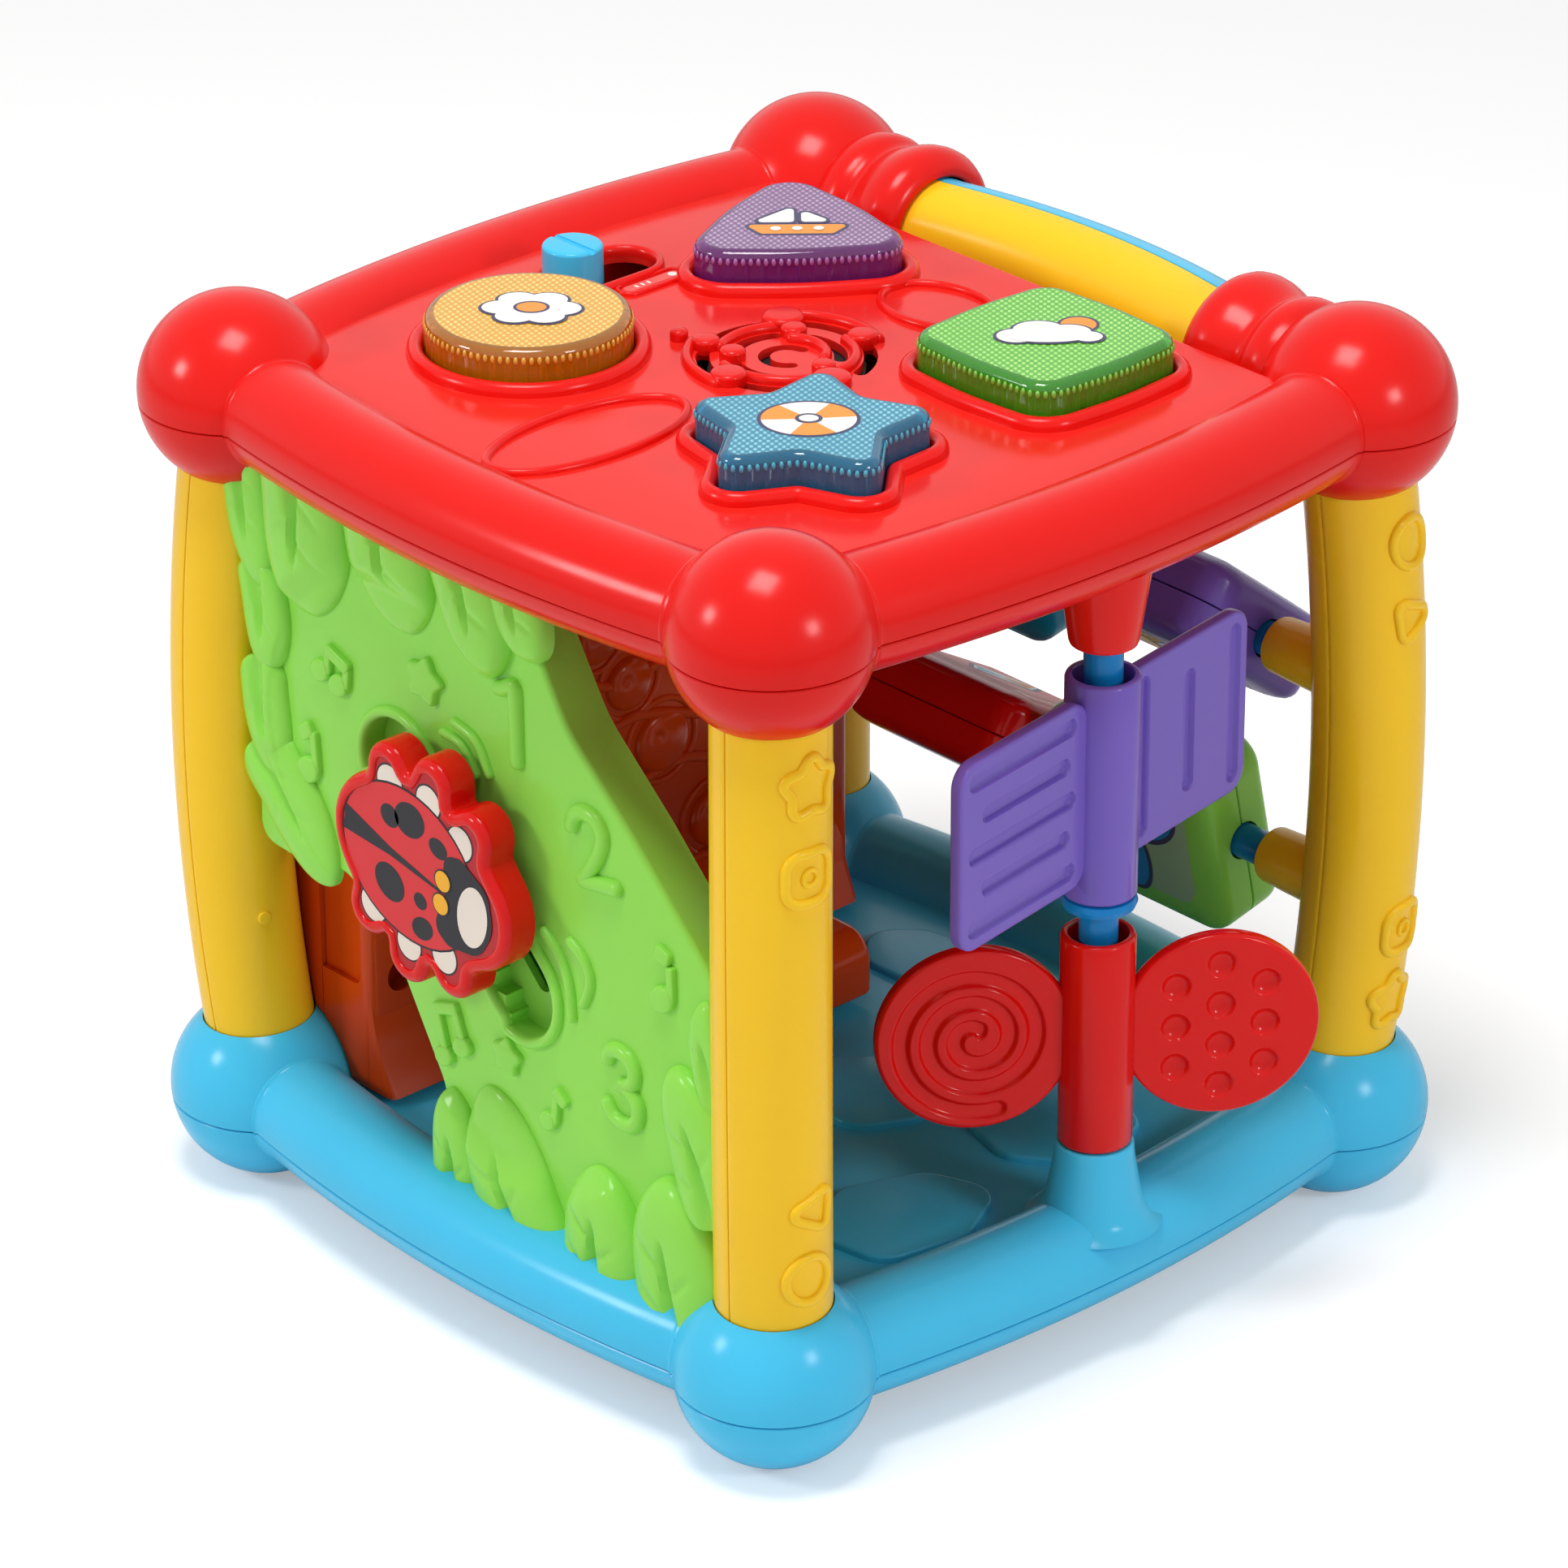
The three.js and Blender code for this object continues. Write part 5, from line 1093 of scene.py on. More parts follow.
# one plain pale patch lies on the head, and two yellow discs where it meets the back
discs = [(9.2, 3.4, 2.7, 2.7, 0), (9.6, -3.2, 2.7, 2.7, 0)]
for name, ink, forms in (
        ("Field", "Deep", printed(1, bugOutline(bug["printIn"] + 0.6))),
        ("FootLines", "Black", printed(2, *(bugShape(f, 0.5) for f in bothSides))),
        ("Feet", "Cream", printed(2.5, *(bugShape(f) for f in bothSides))),
        ("Line", "Black", printed(3, bugShape((-3.2, 0, 25.2, 20.4, 0)))),
        ("Back", "Red", printed(4, bugShape((-3.2, 0, 24.6, 19.8, 0)))),
        ("Black", "Black", printed(5, *(bugShape(s) for s in spots), wedge) + printed(6, headShape)),
        ("Patch", "Cream", printed(7, bugShape((20.8, 0, 5.4, 8.4, 0)))),
        ("DiscLines", "Black", printed(8, *(bugShape(d, 0.4) for d in discs))),
        ("Discs", "Yellow", printed(9, *(bugShape(d) for d in discs)))):
    makePiece("ladybirdPrint" + name, merged(*forms), "bugInk" + ink, "ladybird")
print("ladybird made")


# Spinners on the upright rod.
flag = {"turn": 9, "z0": 127.6, "z1": 176.6, "reach": 57.5, "thick": 3.6, "rounding": 6, "edge": 0.8,
        "groove": 4.5, "deep": 1.45, "margin": 5.4, "short": 5, "tubeTop": 179.6, "tubeBottom": 121.6}
disc = {"turn": -35.3, "z": 84, "at": 30, "radius": 24.5, "thick": 4.4, "edge": 1.2, "deep": 1.85,
        "bottom": 53.9, "top": 110.6, "laps": 2.6, "lapFrom": 2.8, "lapTo": 20.2, "dimple": 3.7,
        "dimplePitch": 11}
tubeR = 9.2


def turnedAboutRod(degrees):
    c, s = cosSin(degrees)
    return lambda x, y, z: (rodX + x * c - y * s, x * s + y * c, z)


def tubeForm(z0, z1, about):
    profile = [(5.5, z0), (tubeR - 0.9, z0), (tubeR - 0.3, z0 + 0.25), (tubeR, z0 + 0.9), (tubeR, z1 - 0.9),
               (tubeR - 0.3, z1 - 0.25), (tubeR - 0.9, z1), (7.6, z1), (7.2, z1 - 0.5), (7.2, z1 - 6),
               (5.5, z1 - 6.2), (5.5, z0)]
    return spun(profile, about, 72, False, False)


def pill(y, z, ends, half, soft):
    (y0, z0), (y1, z1) = ends
    long = (y1 - y0) ** 2 + (z1 - z0) ** 2
    t = 0 if long == 0 else max(0, min(1, ((y - y0) * (y1 - y0) + (z - z0) * (z1 - z0)) / long))
    away = math.hypot(y - y0 - t * (y1 - y0), z - z0 - t * (z1 - z0))
    s = max(0, min(1, (half + soft - away) / (2 * soft)))
    return s * s * (3 - 2 * s)


def gridPlate(side, about, grooves):
    y0, y1 = tubeR - 1.2, flag["reach"]
    z0, z1 = flag["z0"], flag["z1"]
    half, deep, soft, cells = flag["thick"] / 2, flag["deep"], flag["edge"], 150
    outline = evenly(roundedOutline(rectangle(y0, z0, y1, z1, flag["rounding"]), 8), 0.6)
    parts = []
    for face in (1, -1):
        rings = [[about(0, side * y, z) for y, z in outline]]
        for a in quarterTurn(3):
            x, inset = face * (half - soft + soft * math.sin(a)), offset(outline, -soft * (1 - math.cos(a)))
            rings.append([about(x, side * y, z) for y, z in inset])
        parts.append(loft(rings, True, False, False))
        grid = []
        for i in range(cells + 1):
            line = []
            for j in range(cells + 1):
                y = y0 + soft + (y1 - y0 - 2 * soft) * i / cells
                z = z0 + soft + (z1 - z0 - 2 * soft) * j / cells
                # the grid's corners are drawn in to the rounded outline
                r = flag["rounding"] - soft
                for cy, sy in ((y0 + soft + r, -1), (y1 - soft - r, 1)):
                    for cz, sz in ((z0 + soft + r, -1), (z1 - soft - r, 1)):
                        if (y - cy) * sy > 0 and (z - cz) * sz > 0:
                            big = max(abs(y - cy), abs(z - cz))
                            long = math.hypot(y - cy, z - cz)
                            y, z = cy + (y - cy) * big / long, cz + (z - cz) * big / long
                sunk = max(pill(y, z, ends, flag["groove"] / 2 - 0.3, 0.42) for ends in grooves)
                line.append(about(face * (half - deep * sunk), side * y, z))
            grid.append(line)
        parts.append(loft(grid, False, False, False))
    return merged(*parts)


def flagForm():
    about = turnedAboutRod(flag["turn"])
    z0, z1, margin = flag["z0"], flag["z1"], flag["margin"]
    inner, outer = tubeR + margin, flag["reach"] - margin
    tall, level = [], []
    for k in range(3):
        y, short = inner + (outer - inner) * k / 2, flag["short"] * (k % 2)
        tall.append(((y, z0 + margin + short), (y, z1 - margin - short)))
    for k in range(5):
        z, short = z0 + margin + (z1 - z0 - 2 * margin) * k / 4, flag["short"] * (k % 2)
        level.append(((inner + short / 2, z), (outer - short, z)))
    tube = tubeForm(flag["tubeBottom"], flag["tubeTop"], about)
    return merged(tube, gridPlate(1, about, tall), gridPlate(-1, about, level))


def spiralSunk(y, z):
    dz, laps = z - disc["z"], disc["laps"]
    r, a = math.hypot(y, dz), math.degrees(math.atan2(dz, y))
    pitch = (disc["lapTo"] - disc["lapFrom"]) / laps
    best = 99
    for lap in range(-1, 4):
        turn = (a - 70) / 360 + lap
        held = max(0, min(laps, turn))
        if abs(turn - held) < 0.5:
            along = math.radians((turn - held) * 360) * r
            best = min(best, math.hypot(r - (disc["lapFrom"] + pitch * held), along))
    t = max(0, min(1, (2.5 - best) / 1.1))
    return 0.72 * t * t * (3 - 2 * t)


# Round bowls in three columns.
def dimpleSunk(y, z):
    best = 0
    for column, count in enumerate((3, 4, 3)):
        for k in range(count):
            cy = (column - 1) * disc["dimplePitch"]
            cz = disc["z"] + (k - (count - 1) / 2) * disc["dimplePitch"]
            away = math.hypot(y - cy, z - cz) / disc["dimple"]
            best = max(best, max(0, 1 - away ** 2.6) ** 0.8)
    return best


def discPlate(side, about, sunk):
    half, radius, edge = disc["thick"] / 2, disc["radius"], disc["edge"]
    parts = []
    outline = roundOutline(0, disc["z"], radius, count=200)
    for face in (1, -1):
        levels = [(0, 0)] + [(half - edge + edge * math.sin(a), edge * (1 - math.cos(a)))
                             for a in quarterTurn(4)]
        parts.append(loft([[about(face * x, side * disc["at"] + y, z) for y, z in offset(outline, -inset)]
                           for x, inset in levels],
                          True, False, False))
        place = lambda u, v, h, face=face: about(face * (half - disc["deep"] * h), side * disc["at"] + u, v)
        parts.append(field(roundOutline(0, disc["z"], radius - edge, count=200), place, sunk, 62,
                           (0, disc["z"])))
    return merged(*parts)


def discForm():
    about = turnedAboutRod(disc["turn"])
    tube = tubeForm(disc["bottom"], disc["top"], about)
    return merged(tube, discPlate(-1, about, spiralSunk), discPlate(1, about, dimpleSunk))


makePiece("flagSpinner", flagForm(), "mouldedAbsLilac", "flag_spinner", "flag_spinner", slot="spinner_purple",
          sharp=50)
makePiece("discSpinner", discForm(), "mouldedAbsDeepRed", "disc_spinner", "disc_spinner", slot="spinner_red",
          sharp=50)
rodR = 4.8
rodProfile = [(rodR, 45.9), (rodR, 118), (8.0, 118), (8.9, 118.3), (9.4, 119.6), (8.9, 121.0), (8.0, 121.3),
              (rodR, 121.3), (rodR, 195.3)]
makePiece("spinnerRod", spun(rodProfile, upright(rodX, 0), 48), "mouldedAbsRodBlue", "frame", "spinner_rod",
          slot="rod_blue")
print("spinners made")


# Flip blocks: two pillow-shaped halves that meet on the rod.
flipBlocks = [  # name, x, z, turn about the rod, material
    ("teal", -33.5, flip["upper"], 12, "mouldedAbsTeal"),
    ("purple", 38, flip["upper"], 52, "mouldedAbsPurple"),
    ("red", -31.5, flip["lower"], 60, "mouldedAbsDeepRed"),
    ("green", 32, flip["lower"], 12.5, "mouldedAbsGreen")]
swelling = [(8.2, 0.25), (9.3, 0.9), (10.3, 2.0), (11.1, 4.2), (11.7, 7.0), (12.1, 10.2),
            (12.3, 13.5)]  # height, inset


def onBlockAt(x, z, turn):
    c, s = cosSin(turn)
    return lambda px, py, pz: (x + px, flip["rodY"] + py * c - pz * s, z + py * s + pz * c)


def flipForm(side, x, z, turn):
    levels = [(halves["gap"], 0.25), (0.4, 0), (6.8, 0)] + swelling
    shape = rectangle(-flip["long"] / 2, -flip["halfHeight"], flip["long"] / 2, flip["halfHeight"],
                      flip["rounding"])
    rings = [[(u, side * y, v) for u, v in roundedOutline(grown(shape, -inset), 12)] for y, inset in levels]
    bore = spun([(flip["bore"], -40), (flip["bore"], 40)], lambda u, v, h: (h, u, v), 40)
    points, faces = carved(loft(rings), bore)
    place = onBlockAt(x, z, turn)
    return [place(*p) for p in points], faces


for name, x, z, turn, material in flipBlocks:
    for side, word in ((1, "outer"), (-1, "inner")):
        makePiece("%sBlock_%s" % (name, word), flipForm(side, x, z, turn), material,
                  name + "_block", "%s_block_%s_half" % (name, word), slot="block_" + name)
for name in ("upper", "lower"):
    makePiece(name + "FlipRod", spun([(flip["rodRadius"], x) for x in (-77.7, 77.7)], alongX(flip[name]), 48),
              "mouldedAbsRodBlue", "frame", name + "_flip_rod", slot="rod_blue")
print("flip blocks made")


# Reliefs on the legs: raised outlines on the side that faces along X.
def onLeg(corner, angle, height):
    def place(u, v, h):
        turn, z = math.radians(angle) + u / shell["legRadius"], height + v
        reach, out = legAt(z), shell["legRadius"] + h
        return corner[0] * (reach + out * math.cos(turn)), corner[1] * reach + out * math.sin(turn), z
    return place


legSigns = {"star": starOutline(8.8, 90, 0.6, 2.0),
            "square": roundedOutline(rectangle(-6.2, -6.2, 6.2, 6.2, 4), 8),
            "triangle": roundedOutline([(-6.6, 5.6, 2), (-5.0, -6.6, 2), (6.6, 0.4, 2)], 8),
            "circle": roundOutline(0, 0, 6.0, 6.4, 64)}
legReliefs = {  # sign, angle round the leg from +X or -X, height
    (1, -1): [("star", -2, 185.2), ("square", -4, 163.3), ("triangle", -5, 75.6), ("circle", -6, 56.4)],
    (1, 1): [("circle", 8, 184), ("triangle", 10, 163.8), ("square", 9, 77.6), ("star", 6, 57.6)],
    (-1, -1): [("circle", 4, 184), ("triangle", 4, 163), ("square", 4, 76), ("star", 4, 56)],
    (-1, 1): [("star", -4, 185), ("square", -4, 163), ("triangle", -4, 76), ("circle", -4, 56)]}


def legSign(kind, corner, angle, height):
    place = onLeg(corner, angle, height)
    outline = legSigns[kind]
    if kind == "triangle" and corner[1] < 0:
        outline = [(-u, v) for u, v in outline]
    parts = [bead(evenly(outline, 0.5), 2.5, 1.3, place, closed=True, arch=10)]
    if kind == "square":
        parts.append(bead(roundOutline(0, 0, 1.9, 1.9, 40), 1.3, 0.9, place, closed=True))
    return merged(*parts)


for corner, name in zip(corners, legNames):
    signs = merged(*(legSign(kind, corner, angle, z) for kind, angle, z in legReliefs[corner]))
    makePiece("legSigns_" + name, signs, "mouldedPpYellow", "frame", slot="leg_yellow", sharp=50)
# small round bosses left by the mould's ejectors
bossX, bossZ, gripFace = -16.5, upperBall - 1.4, handleAt(16.5) - handle["radius"]
gripBoss = plateau(roundOutline(0, 0, 2.0, count=32), 0.7, 0.5, lambda u, v,
                   h: (bossX + u, gripFace - h, bossZ + v))
makePiece("gripBoss", gripBoss, "mouldedPpYellow", "frame", slot="grip_yellow")
legBoss = plateau(roundOutline(0, 0, 1.8, count=32), 0.6, 0.4, onLeg((-1, -1), 195, 77))
makePiece("legBoss", legBoss, "mouldedPpYellow", "frame", slot="leg_yellow")
print("leg reliefs made")


# Orange housing: two shells that meet on an upright plane, with fruit, branches and a bench on the inner one.
housing = {"outer": -104, "seam": -85, "inner": -66, "y0": -86, "y1": 80, "z0": 26.4, "z1": 202.7,
           "rounding": 4, "edge": 3, "foot": 28.4, "hole": 4.5, "holeAt": (-75.5, 58.5), "skirtTop": 56,
           "skirtOut": 8, "skirtIn": 6, "benchX": -18, "benchHalf": 44, "benchTop": 46, "benchRound": 9,
           "recess": 1.4, "recessIn": 24}
housingRectangle = [housing[key] for key in ("y0", "z0", "y1", "z1")]
housingShape = rectangle(*housingRectangle, housing["rounding"])


def slabX(outline, x0, x1):
    return loft([[(x, y, z) for y, z in outline] for x in (x0, x1)])


# The room that the rails and the balls take on the housing's side.
def frameRoom():
    rooms = []
    for quarter in (0, 1, 2):
        rings = []
        for (x, y, z), (ox, oy), r in railStations(lowerBall, quarter):
            circle = roundOutline(0, 0, r + gap, count=64)
            rings.append([(x + ox * a, y + oy * a, z + h) for a, h in circle])
        rooms.append(loft(rings))
    big = ballRadius + gap
    dome = [(big * math.sin(math.pi * k / 36), -big * math.cos(math.pi * k / 36)) for k in range(1, 36)]
    for side in (-1, 1):
        for z in (lowerBall, upperBall):
            rooms.append(spun([(r, z + h) for r, h in dome], upright(-ballHalf, side * ballHalf), 72))
    return rooms + [legForm(corner, shell["legRadius"] + gap, 20, 222) for corner in corners if corner[0] < 0]


def housingHalf(seam, face):
    sign, edge = math.copysign(1, face - seam), housing["edge"]
    levels = [(seam, 0)] + [(face - sign * edge * (1 - math.sin(a)), edge * (1 - math.cos(a)))
                            for a in quarterTurn(5)]
    return loft([[(x, y, z) for y, z in roundedOutline(grown(housingShape, -inset), 8)]
                 for x, inset in levels])


def orangeOuterForm():
    body, face = housingHalf(housing["seam"] - halves["gap"], housing["outer"]), housing["outer"]
    shape = roundedOutline(grown(rectangle(*housingRectangle, 30), -housing["recessIn"]), 12)
    return carved(body, slabX(shape, face - 4, face + housing["recess"]), *frameRoom())


def orangeInnerForm():
    body = housingHalf(housing["seam"] + halves["gap"], housing["inner"])
    endRecess = roundedOutline(rectangle(-100, 57.5, -69.6, 196, 2.5), 6)
    return carved(body, slabY(endRecess, housing["y0"] - 4, housing["y0"] + 1.5), *frameRoom())


# The foot of the inner shell flares out over the floor in a hollow curve.
def skirtForm():
    inner, out, high, low = housing["inner"], housing["skirtOut"], housing["skirtTop"], housing["foot"]
    curve = [(inner - 0.5 + out * (1 - math.sin(a)) ** 1.1, low + (high - low) * k / 12)
             for k, a in enumerate(quarterTurn(12))]
    back = inner - housing["skirtIn"]
    section = [(back, low), *curve, (back, high)]
    y0, y1, edge = housing["y0"] + 0.4, housing["y1"] - 3, 2.0
    rings = []
    for y, share in ((y0, 0.84), (y0 + edge * 0.3, 0.95), (y0 + edge, 1.0), (y1 - edge, 1.0), (y1, 0.86)):
        rings.append([(back + (x - back) * share, y, z) for x, z in section])
    return carved(loft(rings), *frameRoom()[:4])


def benchForm():
    x0, x1, z0, z1 = housing["inner"] - 1, housing["benchX"], housing["foot"], housing["benchTop"]
    shape = [(x0, z0, gap), (x1, z0, 1), (x1, z1, housing["benchRound"]), (x0, z1, gap)]
    edge, half = 3.0, housing["benchHalf"]
    levels = sorted((side * (half - edge * (1 - math.cos(a))), edge * (1 - math.sin(a)))
                    for a in quarterTurn(5) for side in (-1, 1))
    return loft([[(x, y, z) for x, z in roundedOutline(grown(shape, -inset), 12)] for y, inset in levels])


fruit = [(2, 115, 7.5), (13, 95, 9), (31, 67, 8.5), (-9, 131, 7), (-30, 152, 8.5), (22, 142, 8.5),
         (47, 110, 9), (52, 154, 8), (-50, 122, 8), (-4, 171, 8), (34, 180, 7), (-42, 92, 8)]
branches = [
    [(-62, 84), (-30, 96), (-2, 104.4), (12, 103.2), (34, 97), (66, 100)],
    [(-20, 80), (16, 87.5), (34, 83.6), (68, 80)],
    [(-66, 140), (-40, 134), (-6, 116.5), (9, 116.8), (40, 126), (68, 122)],
    [(-60, 168), (-20, 142), (10, 152), (44, 168), (66, 170)],
    [(-44, 182), (-10, 184), (20, 168)],
    [(6, 58), (38, 58), (50, 72), (68, 70)]]


def housingRelief():
    inner = housing["inner"]
    place = lambda u, v, h: (inner + h, u, v)
    parts = []
    for y, z, radius in fruit:
        def dome(u, v, y=y, z=z, radius=radius):
            body = 3.4 * math.sqrt(max(0, 1 - (math.hypot(u - y, v - z) / radius) ** 2)) ** 0.8
            return body - 1.2 * math.exp(-(math.hypot(u - y + radius * 0.3,
                                                      v - z - radius * 0.3) / 1.4) ** 2) - 0.05
        parts.append(field(roundOutline(y, z, radius, count=72), place, dome, 20, (y, z)))
        parts.append(bead(roundOutline(y, z, radius + 2.6, count=80), 1.8, 0.9, place, closed=True))
    for path in branches:
        parts.append(bead(evenly(smooth(path, 10), 1.2, False), 3.0, 1.7, place))
    return merged(*parts)


makePiece("orangeOuter", orangeOuterForm(), "mouldedAbsOrange", "frame", "orange_housing_outer",
          slot="housing_orange")
holeCut = slabX(roundOutline(*housing["holeAt"], housing["hole"], count=48), housing["inner"] - 10,
                housing["inner"] + 6)
makePiece("orangeInner", carved(orangeInnerForm(), holeCut), "mouldedAbsOrange", "frame",
          "orange_housing_inner", slot="housing_orange")
makePiece("orangeSkirt", carved(skirtForm(), holeCut), "mouldedAbsOrange", "frame", slot="housing_orange",
          sharp=30)
makePiece("orangeRelief", merged(housingRelief(), benchForm()), "mouldedAbsOrange", "frame",
          slot="housing_orange", sharp=50)
print("orange housing made")


# Volume knob with a finger groove, and a small strip with a dot and a wedge beside its slot.
knob = {"x": -73.5, "y": -7.5, "radius": 7.7, "top": 236.9, "bottom": 221.5, "edge": 1.1, "grooveHalf": 1.0,
        "grooveDeep": 1.0}


def knobForm():
    r, edge, topZ = knob["radius"], knob["edge"], knob["top"]
    profile = [(r - 0.1, knob["bottom"]), (r, 223)]
    profile += [(r - edge + edge * math.cos(a), topZ - edge + edge * math.sin(a)) for a in quarterTurn(6)]
    body = spun(profile, upright(knob["x"], knob["y"]), 96)
    y, half, deep = knob["y"], knob["grooveHalf"], knob["grooveDeep"]
    groove = [(y - half * math.cos(math.pi * k / 10), topZ - deep * math.sin(math.pi * k / 10) ** 0.7)
              for k in range(11)]
    section = [(y - half, topZ + 2), *groove, (y + half, topZ + 2)]
    return carved(body, slabX(section, knob["x"] - 12, knob["x"] + 12))


makePiece("volumeKnob", knobForm(), "mouldedAbsBlue", "volume_knob", "volume_knob", slot="knob_blue")
strip = evenly(roundedOutline(rectangle(-63.4, -3.5, -57.0, 17.5, 3.1), 8), 0.8)
stripTop = panelTop + 0.5
stripForm = merged(plateau(offset(strip, -0.8), stripTop - panelTop, 0.3, flat(panelTop)),
                   bead(strip, 1.4, 1.0, flat(panelTop), closed=True))
makePiece("volumeStrip", stripForm, "mouldedAbsRed", "frame", slot="top_red")


# Screen prints: flat shapes a few hundredths of a millimetre thick, one over the other.
inks = {"inkWhite": "#f1efe9", "inkOrange": "#ef9a45", "inkNavy": "#4a4766", "inkPaleRed": "#f0605a",
        "inkBlue": "#2f8fcf", "inkPaleBlue": "#8fc4e6", "inkYellow": "#f6c33c"}
for name, colour in inks.items():
    # screen print under a satin varnish: flat colour with the faint grain of the film
    moulded(name, colour, 0.4, flow=0.05, peelMm=0.7, peelDepth=0.004, glow=0)


def inkUp(outline, z, level):
    face = z + 0.05 + 0.03 * level
    return loft([[(x, y, face - 0.04) for x, y in outline], [(x, y, face) for x, y in outline]])


makePiece("volumeStripField", inkUp(offset(strip, -1.6), stripTop, 0), "inkPaleRed", "frame")
bars = [[(-60.9, y), (-59.5, y), (-59.5, y + 0.7), (-60.9, y + 0.7)] for y in (1.5, 3.5, 5.5)]
marks = [inkUp(outline, stripTop, 1) for outline in [roundOutline(-60.2, 13.8, 1.25), *bars]]
makePiece("volumeStripMarks", merged(*marks), "inkWhite", "frame")


# Small plain motifs: inks and outlines about 20 mm across, in the order of printing.
def blob(x, y, a, b=None, turn=0):
    return roundOutline(x, y, a, b or a, 44, math.radians(turn))


def sharpened(points, rounding=1.0):
    doubled = sum(x0 * y1 - x1 * y0 for (x0, y0), (x1, y1) in zip(points, points[1:] + points[:1]))
    ordered = points if doubled > 0 else points[::-1]
    return roundedOutline([(x, y, rounding) for x, y in ordered], 5)


def flowerMotif():
    petals = [(6.4 * c, 5.4 * s) for c, s in (cosSin(60 * k) for k in range(6))]
    shapes = [("inkNavy", blob(x, y, 4.9, 4.3)) for x, y in petals] + [("inkWhite", blob(x, y, 4.2, 3.6))
                                                                       for x, y in petals]
    return shapes + [("inkWhite", blob(0, 0, 6, 5)), ("inkNavy", blob(0, 0, 3.9, 3.3)),
                     ("inkOrange", blob(0, 0, 3.2, 2.6))]


def boatMotif():
    shapes = []
    for points, ink in (([(-11, -2), (11, -2), (7.5, -7), (-7.5, -7)], "inkOrange"),
                        ([(-0.6, 8), (-0.6, -0.8), (-9.5, -0.8)], "inkWhite"),
                        ([(0.9, 6), (0.9, -0.8), (7.5, -0.8)], "inkWhite")):
        shapes += [("inkNavy", offset(sharpened(points), 0.8)), (ink, sharpened(points))]
    return shapes + [("inkWhite", blob(x, -4.4, 1.1)) for x in (-4.5, 0, 4.5)]


def cloudMotif():
    puffs = [(-6.5, -1.5, 4.4, 3.8), (-1.5, 2, 5.6, 4.6), (5, 0.4, 5, 4), (9.2, -2.4, 3.2, 2.8),
             (0.5, -2.6, 8.4, 2.9)]
    shapes = [("inkNavy", blob(7.4, 5, 4.7)), ("inkOrange", blob(7.4, 5, 4.0))]
    return shapes + [("inkNavy", blob(x, y, a + 0.75, b + 0.75))
                     for x, y, a, b in puffs] + [("inkWhite", blob(*puff)) for puff in puffs]


def ballMotif():
    shapes = [("inkNavy", blob(0, 0, 9.4, 8.2)), ("inkWhite", blob(0, 0, 8.7, 7.5))]
    for start in (10, 130, 250):
        rim = [(8.7 * c, 7.5 * s) for c, s in (cosSin(a) for a in range(start, start + 57, 4))]
        shapes.append(("inkOrange", [(0, 0), *rim]))
    return shapes + [("inkNavy", blob(0, 0, 2.5, 2.2)), ("inkWhite", blob(0, 0, 1.8, 1.5))]


def motifPieces(prefix, motif, put, body):
    byInk = {}
    for level, (ink, outline) in enumerate(motif):
        byInk.setdefault(ink, []).append(put(outline, level))
    for ink, shapes in byInk.items():
        makePiece("%s_%s" % (prefix, ink[3:]), merged(*shapes), ink, body)


lensPrints = {"round": (flowerMotif, 0, 1, 1.15, 45), "triangle": (boatMotif, 0, 0.5, 1.2, 48),
              "square": (cloudMotif, 0, 0, 1.1, 48), "star": (ballMotif, 0, 0, 1.3, 45)}
for name, (motif, dx, dy, size, turn) in lensPrints.items():
    look, (c, s) = buttons[name], cosSin(turn)

    def onLens(outline, level):
        placed = [(look["x"] + dx + size * (x * c - y * s), look["y"] + dy + size * (x * s + y * c))
                  for x, y in outline]
        return inkUp(placed, lensLook["top"] + 0.04, level)
    motifPieces(name + "Print", motif(), onLens, name + "_button")
print("volume knob and button prints made")


# Labels on the flip blocks, on both faces, which follow the swelling of the face.
faceLevels = [(0, 7)] + [(inset, height) for height, inset in swelling] + [(99, swelling[-1][0])]


def crownAt(u, v):
    inset = max(0, min(flip["long"] / 2 - abs(u), flip["halfHeight"] - abs(v)))
    for (i0, y0), (i1, y1) in zip(faceLevels, faceLevels[1:]):
        if inset <= i1:
            return y0 + (y1 - y0) * (inset - i0) / (i1 - i0)
    return faceLevels[-1][1]


def labelForm(outline, side, put, level, rings=8):
    cx, cy = middleOf(outline)
    made = []
    for k in range(rings + 1):
        share = 1 - 0.98 * k / rings
        ring = [(cx + (u - cx) * share, cy + (v - cy) * share) for u, v in outline]
        made.append([put(u, side * (crownAt(u, v) + 0.03 + 0.02 * level), v) for u, v in ring])
    return loft(made, True, False, True)


def kiteMotif():
    kite = sharpened([(0, 9), (-7, 1), (0, -9), (7, 1)])
    return [("inkNavy", offset(kite, 0.9)), ("inkWhite", kite), ("inkPaleBlue", [(0, 8), (-6, 1), (0, 1)]),
            ("inkOrange", [(0, 1), (0, -8), (6, 1)])]


def leafMotif():
    shapes = []
    for angle in (30, 150, 270):
        x, y = (6.4 * part for part in cosSin(angle))
        shapes += [("inkNavy", blob(x, y, 6.8, 4.6, angle)), ("inkBlue", blob(x, y, 5.9, 3.7, angle)),
                   ("inkPaleBlue", blob(x * 0.9, y * 0.9, 3.0, 1.4, angle))]
    return shapes


def moonMotif():
    moon = sharpened(arc(0, 0, 9, 50, 310, 40) + arc(3.4, 0, 6.9, 285, 75, 30), 0.3)
    return [("inkNavy", offset(moon, 0.8)), ("inkYellow", moon),
            ("inkWhite", movedTo(starOutline(3.0, 90), 7.5, 5))]


def starMotif():
    return [("inkNavy", starOutline(10, 90, 0.5, 1.4)), ("inkYellow", starOutline(9, 90, 0.5, 1.2)),
            ("inkOrange", starOutline(4.4, 90, 0.5, 0.7))]


